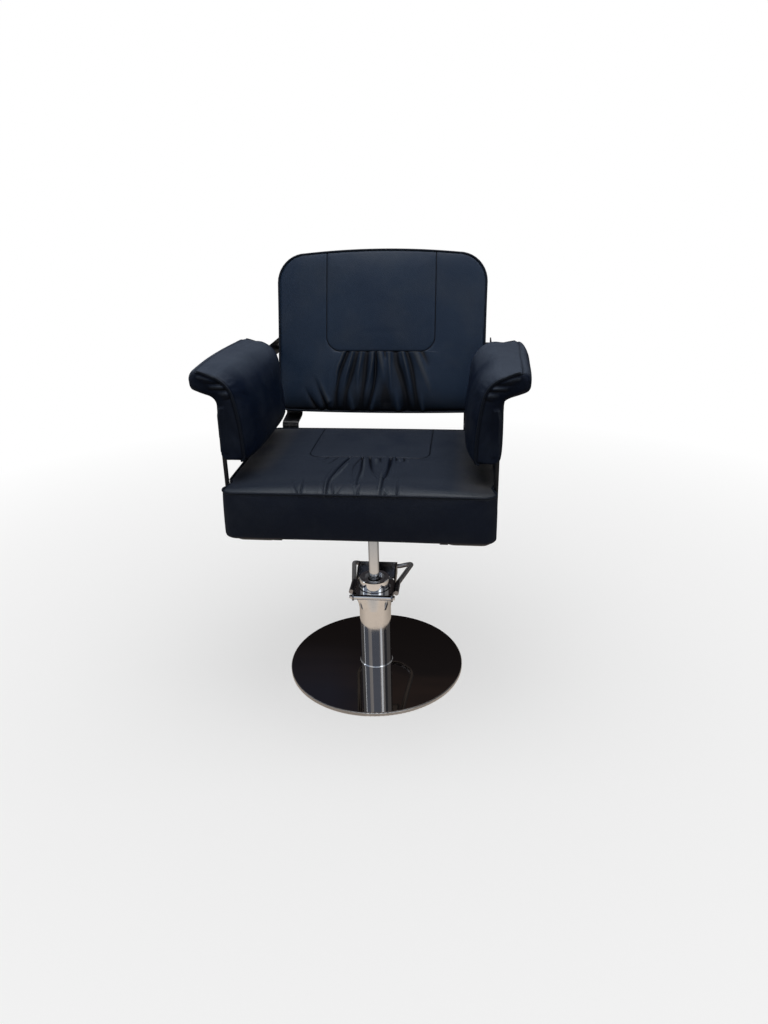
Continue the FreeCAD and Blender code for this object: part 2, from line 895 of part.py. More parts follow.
def make_base():
    pad = turned("FloorPad", [
        ("0", "0"),
        ("base_diameter / 2 - floor_pad_inset", "0"),
        ("base_diameter / 2 - floor_pad_inset", "floor_pad_thickness"),
        ("0", "floor_pad_thickness"),
    ])
    keep(pad, "floor_pad")
    plate = turned("BasePlate", [
        ("0", "floor_pad_thickness"),
        ("base_diameter / 2", "floor_pad_thickness"),
        ("base_diameter / 2", "base_plate_top"),
        ("0", "base_plate_top"),
    ])
    rims = []
    for index, edge in enumerate(plate.Shape.Edges, start=1):
        if abs(edge.BoundBox.XLength - value("base_diameter")) < value("running_gap"):
            rims.append(f"Edge{index}")
    turning = plate.Tip
    rounding = plate.newObject("PartDesign::Fillet", "Rim")
    rounding.Base = (turning, rims)
    rounding.setExpression("Radius", bound("base_edge_radius"))
    doc.recompute()
    spots = []
    for index in range(4):
        angle = 45 + 90 * index
        spots.append((
            f"base_bolt_circle / 2 * cos({angle} deg)",
            f"base_bolt_circle / 2 * sin({angle} deg)",
        ))
    shank = "base_bolt_diameter / 2 + seat_gap"
    drilled(plate, spots, shank, "base_plate_top", "base_plate_thickness + overrun")
    drilled(
        plate,
        spots,
        "base_bolt_head_diameter / 2 + overrun / 2",
        "floor_pad_thickness",
        "base_bolt_head_height + seat_gap",
        upwards=True,
    )
    keep(plate, "base_plate")
    cover = turned("BaseCover", [
        ("column_radius + seat_gap", "base_plate_top"),
        ("base_diameter / 2 - base_cover_inset", "base_plate_top"),
        ("base_diameter / 2 - base_cover_inset", "base_top"),
        ("column_radius + seat_gap", "base_top"),
    ])
    keep(cover, "base_cover")
    bolts = []
    seat = "floor_pad_thickness + base_bolt_head_height + seat_gap"
    for index, (x, y) in enumerate(spots):
        reach = "base_plate_thickness - base_bolt_head_height + base_bolt_reach"
        bolts.append(screw(f"BaseBolt{index}", (x, y, seat), "up", "base_bolt", reach, True))
    keep(group("BaseBolts", bolts), "base_bolts")
    foot = turned("PumpFoot", [
        ("0", "base_plate_top"),
        ("column_bore - seat_gap", "base_plate_top"),
        ("column_bore - seat_gap", "foot_top"),
        ("0", "foot_top"),
    ])
    drilled(foot, spots, shank, "base_plate_top", "base_bolt_reach + overrun / 2", upwards=True)
    keep(foot, "pump_foot")


# Pump body


def make_pump():
    column = turned("ColumnTube", [
        ("column_bore", "base_plate_top"),
        ("column_radius", "base_plate_top"),
        ("column_radius", "column_top"),
        ("column_bore", "column_top"),
    ])
    keep(column, "column_tube")
    ring = turned("TrimRing", [
        ("column_radius + seat_gap", "base_top"),
        ("column_radius + trim_ring_width", "base_top"),
        ("column_radius + trim_ring_width", "base_top + trim_ring_height / 2"),
        ("column_radius + trim_ring_width / 2", "base_top + trim_ring_height"),
        ("column_radius + seat_gap", "base_top + trim_ring_height"),
    ])
    keep(ring, "column_trim_ring")
    cylinder = turned("PumpCylinder", [
        ("cylinder_bore", "foot_top"),
        ("cylinder_diameter / 2", "foot_top"),
        ("cylinder_diameter / 2", "head_bottom"),
        ("cylinder_bore", "head_bottom"),
    ])
    keep(cylinder, "pump_cylinder")
    bore = "ram_radius + running_gap"
    head = turned("PumpHead", [
        (bore, "head_bottom"),
        ("column_bore - seat_gap", "head_bottom"),
        ("column_bore - seat_gap", "column_top"),
        ("head_diameter / 2", "column_top"),
        ("head_diameter / 2", "head_top - head_chamfer"),
        ("head_diameter / 2 - head_chamfer", "head_top"),
        ("head_well_diameter / 2", "head_top"),
        ("head_well_diameter / 2", "gland_top"),
        ("gland_diameter / 2", "gland_top"),
        ("gland_diameter / 2", "packing_bottom"),
        (bore, "packing_bottom"),
    ])
    keep(head, "pump_head")
    packing = turned("RamPacking", [
        (bore, "packing_bottom"),
        ("gland_diameter / 2 - seat_gap", "packing_bottom"),
        ("gland_diameter / 2 - seat_gap", "gland_bottom"),
        (bore, "gland_bottom"),
    ])
    keep(packing, "ram_packing")
    lip = "ram_radius + wiper_width + seat_gap"
    gland = turned("GlandNut", [
        (bore, "gland_bottom"),
        ("gland_diameter / 2 - seat_gap", "gland_bottom"),
        ("gland_diameter / 2 - seat_gap", "gland_top"),
        (lip, "gland_top"),
        (lip, "gland_top - wiper_height / 2"),
        (bore, "gland_top - wiper_height / 2"),
    ])
    keep(gland, "gland_nut")
    wiper = turned("WiperSeal", [
        (bore, "gland_top - wiper_height / 2"),
        ("ram_radius + wiper_width", "gland_top - wiper_height / 2"),
        ("ram_radius + wiper_width", "gland_top"),
        ("ram_radius + running_gap + wiper_width / 3", "gland_top + wiper_height / 2"),
        (bore, "gland_top + wiper_height / 2"),
    ])
    keep(wiper, "wiper_seal")
    make_pivot_bracket()
    pin = pivot_pin()
    keep(pin, "pivot_pin")
    far_side = "-(yoke_outer + running_gap)"
    nut_blank = hexagon(
        "PivotNutBlank", (far_side, "-pivot_forward", "pivot_level"), "right",
        "pivot_head_diameter", "pivot_head_height",
    )
    hole = bar(
        "PivotNutHole", ("-(yoke_outer) + overrun", "-pivot_forward", "pivot_level"), "right",
        "pivot_pin_diameter / 2 + seat_gap", "pivot_head_height + overrun * 2",
    )
    keep(less("PivotNut", nut_blank, [hole]), "pivot_nut")
    make_barrel()


def pivot_pin():
    """The pin runs across the front of the bracket, with its head on the left."""
    seat = ("yoke_outer + running_gap", "-pivot_forward", "pivot_level")
    reach = "yoke_outer * 2 + running_gap * 2 + pivot_head_height + pivot_pin_end"
    head = hexagon("PivotHead", seat, "left", "pivot_head_diameter", "pivot_head_height")
    shank = bar("PivotShank", seat, "right", "pivot_pin_diameter / 2", reach)
    return joined("PivotPin", [head, shank])


def make_pivot_bracket():
    """Round at the tube below and square above, with a barrel for the pin at its front."""
    over = value("overrun")
    low = value("bracket_bottom")
    square = value("bracket_square_level")
    top = value("bracket_top")
    half = value("bracket_half")
    corner = value("bracket_corner_radius")
    tube = value("column_radius") + value("bracket_skirt")

    def round_wire(level):
        edges = []
        reach = math.asin((half - corner) / half)
        for quarter in range(4):
            turn = Rotation(Vector(0, 0, 1), 90 * quarter)
            for start, end in ((-reach, reach), (reach, math.pi / 2 - reach)):
                stops = []
                for angle in (start, (start + end) / 2, end):
                    spot = Vector(math.cos(angle), math.sin(angle), 0) * tube
                    stops.append(turn.multVec(spot) + Vector(0, 0, level))
                edges.append(Part.Arc(*stops).toShape())
        return Part.Wire(edges)

    def square_wire(level):
        edges = []
        cut = 1 - math.sqrt(0.5)
        for quarter in range(4):
            turn = Rotation(Vector(0, 0, 1), 90 * quarter)
            stops = [
                Vector(half, corner - half, level),
                Vector(half, half - corner, level),
                Vector(half - corner * cut, half - corner * cut, level),
                Vector(half - corner, half, level),
            ]
            stops = [turn.multVec(stop) for stop in stops]
            edges.append(Part.LineSegment(stops[0], stops[1]).toShape())
            edges.append(Part.Arc(stops[1], stops[2], stops[3]).toShape())
        return Part.Wire(edges)

    skirt = Part.makeLoft([round_wire(low), square_wire(square)], True, True)
    band = Part.Face(square_wire(square)).extrude(Vector(0, 0, top - square))
    barrel_start = Vector(-half, -value("pivot_forward"), value("pivot_level"))
    along = Vector(1, 0, 0)
    barrel = Part.makeCylinder(value("pivot_barrel_diameter") / 2, half * 2, barrel_start, along)
    outer = skirt.fuse(band).fuse(barrel)
    bore = Part.makeCylinder(
        value("column_radius") + value("seat_gap"), top - low + over * 2, Vector(0, 0, low - over)
    )
    pin_hole = Part.makeCylinder(
        value("pivot_pin_diameter") / 2 + value("running_gap"),
        half * 2 + over * 2,
        barrel_start - along * over,
        along,
    )
    keep(feature("PivotBracket", outer.cut(bore).cut(pin_hole)), "pivot_bracket")


def make_barrel():
    """The blind barrel that the plunger works in, on a web that is fixed to the column."""
    barrel = turned("Barrel", [
        ("0", "barrel_bottom"),
        ("barrel_diameter / 2", "barrel_bottom"),
        ("barrel_diameter / 2", "barrel_top"),
        ("plunger_diameter / 2 + running_gap", "barrel_top"),
        ("plunger_diameter / 2 + running_gap", "barrel_bottom + barrel_floor"),
        ("0", "barrel_bottom + barrel_floor"),
    ])
    place(barrel, y="plunger_y")
    web = block(
        "BarrelWeb",
        ("-barrel_web_width / 2", "0", "barrel_bottom"),
        ("barrel_web_width / 2", "plunger_y - plunger_diameter / 2 - overrun", "barrel_top"),
    )
    tube = bar(
        "BarrelTube", ("0", "0", "barrel_bottom - overrun"), "up",
        "column_radius + seat_gap", "barrel_top - barrel_bottom + overrun * 2",
    )
    fitted_web = less("FittedWeb", web, [tube])
    keep(joined("PlungerBarrel", [barrel, fitted_web]), "plunger_barrel")


# Ram


def make_ram():
    stud = "ram_stud_diameter / 2"
    ram = turned("PistonRod", [
        ("0", "piston_bottom - ram_nut_height"),
        (stud, "piston_bottom - ram_nut_height"),
        (stud, "piston_top"),
        ("ram_radius", "piston_top"),
        ("ram_radius", "ram_shoulder"),
        ("ram_shoulder_diameter / 2", "ram_shoulder"),
        ("ram_shoulder_diameter / 2", "ram_top"),
        ("0", "ram_top"),
    ])
    keep(ram, "piston_rod")
    rim = "cylinder_bore - running_gap"
    groove = "cylinder_bore - piston_seal_depth"
    middle = "piston_bottom + piston_height / 2"
    piston = turned("Piston", [
        (stud + " + seat_gap", "piston_bottom"),
        (rim, "piston_bottom"),
        (rim, middle + " - piston_seal_height / 2"),
        (groove, middle + " - piston_seal_height / 2"),
        (groove, middle + " + piston_seal_height / 2"),
        (rim, middle + " + piston_seal_height / 2"),
        (rim, "piston_top"),
        (stud + " + seat_gap", "piston_top"),
    ])
    keep(piston, "piston")
    seal = turned("PistonSeal", [
        (groove, middle + " - piston_seal_height / 2"),
        (rim, middle + " - piston_seal_height / 2"),
        (rim, middle + " + piston_seal_height / 2"),
        (groove, middle + " + piston_seal_height / 2"),
    ])
    keep(seal, "piston_seal")
    nut_blank = hexagon(
        "RamNutBlank", ("0", "0", "piston_bottom - ram_nut_height"), "up",
        "ram_nut_across", "ram_nut_height",
    )
    hole = bar(
        "RamNutHole", ("0", "0", "piston_bottom - ram_nut_height - overrun"), "up",
        stud + " + seat_gap", "ram_nut_height + overrun * 2",
    )
    keep(less("RamNut", nut_blank, [hole]), "piston_nut")


# Pedal


def make_pedal():
    body = new_body("PedalYoke")
    side = new_sketch(body, "YZ_Plane")
    rear = "yoke_web + yoke_sheet"
    eye = "yoke_eye_radius"
    flat = "yoke_eye_flat"
    slant = "yoke_eye_slant"
    nose = "yoke_nose_half"
    draw_polygon(side, [
        (f"-pivot_forward - {flat}", f"pivot_level - {slant}"),
        ("plunger_y - plunger_button_diameter / 2", f"pivot_level - {slant}"),
        (rear, "pivot_level"),
        (rear, "yoke_web_top"),
        ("yoke_shoulder - pivot_forward + yoke_shoulder_slant", "yoke_web_top"),
        ("yoke_shoulder - pivot_forward - yoke_shoulder_slant", f"pivot_level + {eye}"),
        (f"-pivot_forward - {flat}", f"pivot_level + {slant}"),
        (f"-pivot_forward - {eye}", f"pivot_level + {nose}"),
        (f"-pivot_forward - {eye}", f"pivot_level - {nose}"),
    ])
    padded_sketch(body, side, "yoke_outer * 2", midplane=True)
    inside = new_sketch(body, "XY_Plane")
    draw_polygon(inside, [
        ("-yoke_inner", "-pivot_forward - yoke_eye_radius - overrun"),
        ("yoke_inner", "-pivot_forward - yoke_eye_radius - overrun"),
        ("yoke_inner", "yoke_web"),
        ("-yoke_inner", "yoke_web"),
    ])
    hollow = body.newObject("PartDesign::Pocket", "Hollow")
    hollow.Profile = inside
    hollow.Midplane = True
    hollow.setExpression("Length", bound("yoke_web_top * 2 + overrun * 2"))
    doc.recompute()
    shelf = new_sketch(body, "XY_Plane", "pivot_level")
    draw_polygon(shelf, [
        ("-yoke_inner - yoke_sheet / 2", "yoke_web - yoke_shelf_depth"),
        ("yoke_inner + yoke_sheet / 2", "yoke_web - yoke_shelf_depth"),
        ("yoke_inner + yoke_sheet / 2", "yoke_web + yoke_sheet / 2"),
        ("-yoke_inner - yoke_sheet / 2", "yoke_web + yoke_sheet / 2"),
    ])
    padded_sketch(body, shelf, "yoke_sheet")
    eyes = new_sketch(body, "YZ_Plane")
    draw_circles(eyes, [("-pivot_forward", "pivot_level")], "pivot_pin_diameter / 2 + running_gap")
    bores = body.newObject("PartDesign::Pocket", "Eyes")
    bores.Profile = eyes
    bores.Midplane = True
    bores.setExpression("Length", bound("yoke_outer * 2 + overrun * 2"))
    doc.recompute()
    keep(body, "pedal_yoke")

    def spot(sign, x, y, z):
        return Vector(sign * value(x), value(y), value(z))

    points = [
        spot(1, "pedal_root_x", "pedal_root_y - pedal_lap", "pedal_root_z"),
        spot(1, "pedal_root_x", "pedal_root_y + pedal_lap", "pedal_root_z"),
        spot(1, "pedal_bend_x", "pedal_bend_y", "pedal_bend_z"),
        spot(1, "pedal_bar_half", "pedal_bar_y", "pedal_bar_z"),
    ]
    mirror = [Vector(-point.x, point.y, point.z) for point in reversed(points)]
    bend = value("pedal_bend_radius")
    path = points + mirror
    rod = round_rod(path, [bend * 2, bend, bend * 2, bend * 2, bend, bend * 2], value("pedal_rod_radius"))
    keep(feature("PedalLoop", rod), "pedal_loop")


def make_plunger():
    top = "plunger_top"
    rim = "plunger_button_diameter / 2"
    drop = "plunger_dome_radius - sqrt(plunger_dome_radius ^ 2 - ({0}) ^ 2)"
    corners = [
        ("0", "plunger_bottom"),
        ("plunger_diameter / 2", "plunger_bottom"),
        ("plunger_diameter / 2", "button_bottom"),
        (rim, "button_bottom"),
        (rim, top + " - plunger_button_height / 2"),
    ]
    for share in (0.9, 0.7, 0.45, 0.2):
        across = f"{rim} * {share}"
        corners.append((across, f"{top} - ({drop.format(across)})"))
    corners.append(("0", top))
    plunger = turned("Plunger", corners)
    place(plunger, y="plunger_y")
    keep(plunger, "plunger")
    wire = value("spring_wire") / 2
    bottom = value("barrel_top") + wire + value("spring_end_gap")
    upper = value("button_bottom") - wire - value("spring_end_gap")
    middle = Vector(0, value("plunger_y"), 0)
    radius = value("spring_diameter") / 2
    path = spring_wire_path(radius, bottom, upper, int(value("spring_turn_count")), middle)
    start = path.Edges[0]
    heading = start.tangentAt(start.FirstParameter)
    ring = Part.Wire([Part.Circle(start.valueAt(start.FirstParameter), heading, wire).toShape()])
    pitch = (upper - bottom) / value("spring_turn_count")
    print("spring gap between turns", round(pitch - wire * 2, 2))
    keep(feature("PlungerSpring", path.makePipeShell([ring], True, False)), "plunger_spring")


# Seat carrier


def bolt_places(spacing):
    half = f"{spacing} / 2"
    return [(half, half), (f"-{half}", half), (f"-{half}", f"-{half}"), (half, f"-{half}")]


def make_carrier():
    bush_outer = "ram_shoulder_diameter / 2 + bush_wall"
    hub = turned("SeatHub", [
        ("ram_radius + seat_gap * 2", "hub_bottom"),
        ("hub_neck_diameter / 2", "hub_bottom"),
        ("hub_neck_diameter / 2", "hub_bottom + hub_collar_height"),
        ("hub_diameter / 2", "hub_top - hub_collar_height"),
        ("hub_diameter / 2", "hub_top"),
        ("0", "hub_top"),
        ("0", "ram_top + running_gap"),
        (bush_outer + " + seat_gap", "ram_top + running_gap"),
        (bush_outer + " + seat_gap", "ram_shoulder + running_gap"),
        ("ram_radius + seat_gap * 2", "ram_shoulder + running_gap"),
    ])
    keep(hub, "seat_hub")
    bush = turned("SwivelBush", [
        ("ram_shoulder_diameter / 2 + running_gap", "ram_shoulder + running_gap"),
        (bush_outer, "ram_shoulder + running_gap"),
        (bush_outer, "ram_top"),
        ("ram_shoulder_diameter / 2 + running_gap", "ram_top"),
    ])
    keep(bush, "swivel_bush")
    spots = bolt_places("seat_bolt_spacing")
    body = new_body("SeatPlate")
    half = "seat_plate_width / 2"
    inner = "(seat_plate_width / 2 - seat_plate_corner)"
    sketch = new_sketch(body, "XY_Plane", "hub_top")
    draw_polygon(sketch, [
        (half, inner), (inner, half), ("-" + inner, half), ("-" + half, inner),
        ("-" + half, "-" + inner), ("-" + inner, "-" + half), (inner, "-" + half), (half, "-" + inner),
    ])
    padded_sketch(body, sketch, "seat_plate_thickness - dust_cover_thickness")
    gap = " + seat_gap"
    drilled(body, spots, "seat_bolt_diameter / 2" + gap, "seat_bottom", "seat_plate_thickness + overrun")
    keep(body, "seat_plate")
    bolts = []
    for index, (x, y) in enumerate(spots):
        reach = "seat_plate_thickness + seat_board_thickness - overrun"
        bolts.append(screw(f"SeatBolt{index}", (x, y, "hub_top"), "up", "seat_bolt", reach, True))
    keep(group("SeatBolts", bolts), "seat_bolts")
    nuts = []
    for index, (x, y) in enumerate(spots):
        flange = bar(
            f"TeeFlange{index}", (x, y, "board_top - tee_nut_flange"), "up",
            "tee_nut_diameter / 2", "tee_nut_flange",
        )
        shank = bar(
            f"TeeBarrel{index}", (x, y, "seat_bottom + overrun"), "up",
            "tee_nut_barrel_diameter / 2", "seat_board_thickness - overrun",
        )
        hole = bar(
            f"TeeHole{index}", (x, y, "seat_bottom"), "up",
            "seat_bolt_diameter / 2 + seat_gap", "seat_board_thickness + overrun",
        )
        nuts.append(less(f"TeeNut{index}", joined(f"TeeBlank{index}", [flange, shank]), [hole]))
    keep(group("SeatTeeNuts", nuts), "seat_tee_nuts")


def rail_spots():
    """Where the rails' screws go, on the left side."""
    x = "rail_inner + rail_width / 2"
    return [(x, "-rail_screw_front"), (x, "(rail_screw_rear - rail_screw_front) / 2"), (x, "rail_screw_rear")]


def strap_spots():
    """Where the straps are screwed up into the seat board, on the left side."""
    return [("strap_mid", f"strap_front + {step}") for step in ("strap_screw_first", "strap_screw_second")]


def make_seat():
    board = block(
        "SeatBoardBlank",
        ("-seat_width / 2 + seat_board_inset", "-seat_front + seat_board_inset", "seat_bottom"),
        ("seat_width / 2 - seat_board_inset", "seat_rear - seat_board_inset", "board_top"),
    )
    tools = []
    for index, (x, y) in enumerate(bolt_places("seat_bolt_spacing")):
        tools.append(bar(
            f"BoardBolt{index}", (x, y, "seat_bottom - overrun"), "up",
            "tee_nut_barrel_diameter / 2 + seat_gap", "seat_board_thickness + overrun * 2",
        ))
        tools.append(bar(
            f"BoardFlange{index}", (x, y, "board_top - tee_nut_flange - seat_gap"), "up",
            "tee_nut_diameter / 2 + seat_gap", "tee_nut_flange + overrun",
        ))
    for side, sign in SIDES:
        for index, (x, y) in enumerate(rail_spots()):
            tools.append(bar(
                f"BoardRail{side}{index}", (on_side(sign, x), y, "seat_bottom - overrun"), "up",
                "rail_screw_diameter / 2 + seat_gap", "rail_screw_reach + overrun + seat_gap",
            ))
        for index, (x, y) in enumerate(strap_spots()):
            tools.append(bar(
                f"BoardStrap{side}{index}", (on_side(sign, x), y, "seat_bottom - overrun"), "up",
                "strap_screw_diameter / 2 + seat_gap", "strap_screw_reach + overrun + seat_gap",
            ))
    keep(less("SeatBoard", board, tools), "seat_board")
    cover = block(
        "DustCoverBlank",
        ("-seat_width / 2 + dust_cover_inset", "-seat_front + dust_cover_inset", "rail_top"),
        ("seat_width / 2 - dust_cover_inset", "seat_rear - dust_cover_inset", "seat_bottom"),
    )
    holes = []
    for index, (x, y) in enumerate(bolt_places("seat_bolt_spacing")):
        holes.append(bar(
            f"CoverBolt{index}", (x, y, "rail_top - overrun"), "up",
            "seat_bolt_diameter / 2 + seat_gap", "overrun * 3",
        ))
    for side, sign in SIDES:
        for index, (x, y) in enumerate(rail_spots()):
            holes.append(bar(
                f"CoverRail{side}{index}", (on_side(sign, x), y, "rail_top - overrun"), "up",
                "rail_screw_diameter / 2 + seat_gap", "overrun * 3",
            ))
        for index, (x, y) in enumerate(strap_spots()):
            holes.append(bar(
                f"CoverStrap{side}{index}", (on_side(sign, x), y, "rail_top - overrun"), "up",
                "strap_screw_diameter / 2 + seat_gap", "overrun * 3",
            ))
    keep(less("DustCover", cover, holes), "seat_dust_cover")
    shape = cushion_shape(SEAT, SEAT_FOLD_SHARES)
    gap = value("soft_gap")
    inset = value("seat_board_inset") - gap
    pocket = Part.makeBox(
        value("seat_width") - 2 * inset,
        value("seat_depth") - 2 * inset,
        value("seat_board_thickness") + gap + value("overrun"),
        Vector(-value("seat_width") / 2 + inset, inset, -value("overrun")),
    )
    cushion = feature("SeatCushion", shape.cut(pocket))
    cushion.Placement = Placement(Vector(0, -value("seat_front"), value("seat_bottom")), Rotation())
    keep(cushion, "seat_cushion")


# Back


def back_placement():
    """The back lies on its rear face in its own frame: its base plane goes to the rear."""
    lean = math.radians(value("back_lean_angle"))
    border = value("back_border_height")
    foot = Vector(0, value("back_foot_y"), value("back_foot_z"))
    rear = foot + Vector(0, math.cos(lean), -math.sin(lean)) * border
    return Placement(rear, Rotation(Vector(1, 0, 0), 90 - value("back_lean_angle")))


def back_level_share(level):
    """How far up the back, along its slope, the board's middle reaches a level."""
    lean = math.radians(value("back_lean_angle"))
    base = back_placement().Base
    return (level - base.z - value("back_board_thickness") / 2 * math.sin(lean)) / math.cos(lean)


def round_slab(inset, low, high):
    """A flat slab of the back's outline between two levels of its own frame."""
    return Part.Face(rounded_ring(BACK, inset, low)).extrude(Vector(0, 0, high - low))


def strap_holes(low, high, radius):
    """Cylinders where the straps' screws go, in the back's own frame."""
    drop = value("strap_drop")
    cylinders = []
    for step in ("strap_screw_first", "strap_screw_second"):
        for sign in (1, -1):
            spot = Vector(sign * value("strap_mid"), value(step) - drop, low)
            cylinders.append(Part.makeCylinder(radius, high - low, spot))
    return cylinders


def make_back():
    gap = value("soft_gap")
    thickness = value("back_board_thickness")
    inset = value("back_board_inset")
    reach = value("strap_screw_reach")
    board = round_slab(inset, 0, thickness)
    hole = value("strap_screw_diameter") / 2 + value("seat_gap")
    for cylinder in strap_holes(-value("overrun"), reach + value("seat_gap"), hole):
        board = board.cut(cylinder)
    bolt_y = back_level_share(value("link_level"))
    half = value("back_width") / 2
    for sign in (1, -1):
        start = Vector(sign * (half + value("overrun")), bolt_y, thickness / 2)
        length = value("link_screw_reach") + value("overrun")
        drill = Part.makeCylinder(
            value("link_screw_diameter") / 2 + value("seat_gap"), length, start, Vector(-sign, 0, 0)
        )
        board = board.cut(drill)
    back_board = feature("BackBoard", board)
    back_board.Placement = back_placement()
    keep(back_board, "back_board")
    shape = cushion_shape(BACK, BACK_FOLD_SHARES)
    pocket = round_slab(inset - gap, -value("overrun"), thickness + gap)
    shape = shape.cut(pocket)
    for sign in (1, -1):
        start = Vector(sign * (half + value("overrun") * 3), bolt_y, thickness / 2)
        length = inset + value("overrun") * 6
        wide = value("link_screw_diameter") / 2 + gap
        shape = shape.cut(Part.makeCylinder(wide, length, start, Vector(-sign, 0, 0)))
    cushion = feature("BackCushion", shape)
    cushion.Placement = back_placement()
    keep(cushion, "back_cushion")
    deep = value("back_cover_thickness")
    cover = round_slab(value("back_cover_inset"), -deep, -value("seat_gap"))
    rim = [edge for edge in cover.Edges if edge.BoundBox.ZMax < -deep + value("running_gap")]
    cover = cover.makeFillet(deep / 2, rim)
    strap_room = value("strap_thickness") + gap + value("strap_screw_head_height") + gap
    for sign in (1, -1):
        wide = value("strap_width") + 2 * gap
        middle = sign * value("strap_mid")
        slot = Part.makeBox(
            wide,
            value("strap_lap") + value("overrun"),
            strap_room + value("overrun"),
            Vector(middle - wide / 2, -value("overrun"), -strap_room),
        )
        cover = cover.cut(slot)
    rear_cover = feature("BackCover", cover)
    rear_cover.Placement = back_placement()
    keep(rear_cover, "back_cover")
    screws = []
    head = value("strap_screw_head_diameter") / 2
    plate = value("strap_thickness")
    for cylinder in strap_holes(-plate, reach, value("strap_screw_diameter") / 2):
        screws.append(cylinder)
    low = -plate - value("strap_screw_head_height")
    heads = strap_holes(low, -plate, head)
    both = [shank.fuse(top) for shank, top in zip(screws, heads)]
    bolts = feature("BackScrews", Part.makeCompound(both))
    bolts.Placement = back_placement()
    keep(bolts, "back_screws")


def strap_path():
    """The middle line of a strap, from under the seat to behind the back."""
    plate = value("strap_thickness")
    base = back_placement()
    upper = base.multVec(Vector(0, -value("strap_drop"), -plate / 2))
    top = base.multVec(Vector(0, value("strap_lap") - value("strap_drop"), -plate / 2))
    level = value("rail_top") - plate / 2
    return [
        Vector(0, value("strap_front"), level),
        Vector(0, value("strap_rise_y"), level),
        Vector(0, value("strap_rise_y"), value("strap_kink_z")),
        upper,
        top,
    ]


def make_straps():
    hole = value("strap_screw_diameter") / 2 + value("seat_gap")
    base = back_placement()
    bend = value("strap_bend")
    for side, sign in SIDES:
        shift = Vector(sign * value("strap_mid"), 0, 0)
        points = [point + shift for point in strap_path()]
        strap = flat_strip(
            points, [bend, bend, bend], value("strap_width") / 2, value("strap_thickness") / 2
        )
        for x, y in strap_spots():
            spot = Vector(sign * value(x), value(y), value("rail_top") - value("strap_thickness") * 2)
            strap = strap.cut(Part.makeCylinder(hole, value("strap_thickness") * 3, spot))
        for cylinder in strap_holes(-value("strap_thickness") * 2, value("overrun"), hole):
            cylinder.Placement = base.multiply(cylinder.Placement)
            strap = strap.cut(cylinder)
        keep(feature(f"BackStrap{side}", strap), f"back_strap_{side}")
    screws = []
    for side, sign in SIDES:
        for index, (x, y) in enumerate(strap_spots()):
            seat = (on_side(sign, x), y, "rail_top - strap_thickness")
            reach = "strap_thickness + dust_cover_thickness + strap_screw_reach"
            screws.append(screw(f"StrapScrew{side}{index}", seat, "up", "strap_screw", reach))
    keep(group("StrapScrews", screws), "strap_screws")


# Arms


def arm_section(y, bulge):
    """The pad's outline at a place along the arm, its inner face pushed in by a bulge."""
    inner = value("arm_inner")
    width = value("arm_section_width")
    low = value("arm_bottom")
    height = value("arm_section_height")

    def spot(shares, push):
        return Vector(inner + shares[0] * width - push * bulge, y, low + shares[1] * height)

    edges = []
    start = spot(ARM_SECTION_SHARES[0][0], 0)
    for index, (end_share, via_share) in enumerate(ARM_SECTION_SHARES[1:], start=1):
        end = spot(end_share, ARM_BULGE_SHARES[index])
        via = spot(via_share, ARM_BULGE_VIA_SHARES[index]) if via_share else None
        edges.append(edge_through(start, via, end))
        start = end
    return Part.Wire(edges)


def arm_plate_outline(grow, x):
    """The plate inside an arm: a panel with a tongue out to the back, in the plane at x."""
    front = -value("arm_plate_front") - grow
    rear = value("arm_plate_rear") + grow
    bottom = value("arm_plate_bottom") - grow
    top = value("arm_plate_top") + grow
    tongue_low = value("arm_tongue_bottom") - grow
    tongue_top = value("arm_tongue_top") + grow
    tip = link_bolt().y + value("arm_tongue_reach") + grow
    start = value("arm_plate_rear") - value("arm_tongue_forward") - grow
    corners = [
        (front, bottom), (rear, bottom), (rear, tongue_low), (tip, tongue_low),
        (tip, tongue_top), (start, tongue_top), (start - (tongue_top - top), top), (front, top),
    ]
    return [Vector(x, y, z) for y, z in corners]


def link_bolt():
    return back_placement().multVec(
        Vector(0, back_level_share(value("link_level")), value("back_board_thickness") / 2)
    )


def arm_screw_spots():
    margin = value("arm_screw_margin")
    spots = []
    for y in (-value("arm_plate_front") + margin, value("arm_plate_rear") - margin):
        for z in (value("arm_plate_bottom") + margin, value("arm_plate_top") - margin):
            spots.append((y, z))
    return spots


def both_sides(node, shape):
    """The left piece, and its mirror image on the right."""
    keep(feature(node + "Left", shape), node + "_left")
    mirrored = shape.mirror(Vector(0, 0, 0), Vector(1, 0, 0))
    keep(feature(node + "Right", mirrored), node + "_right")
    return shape, mirrored


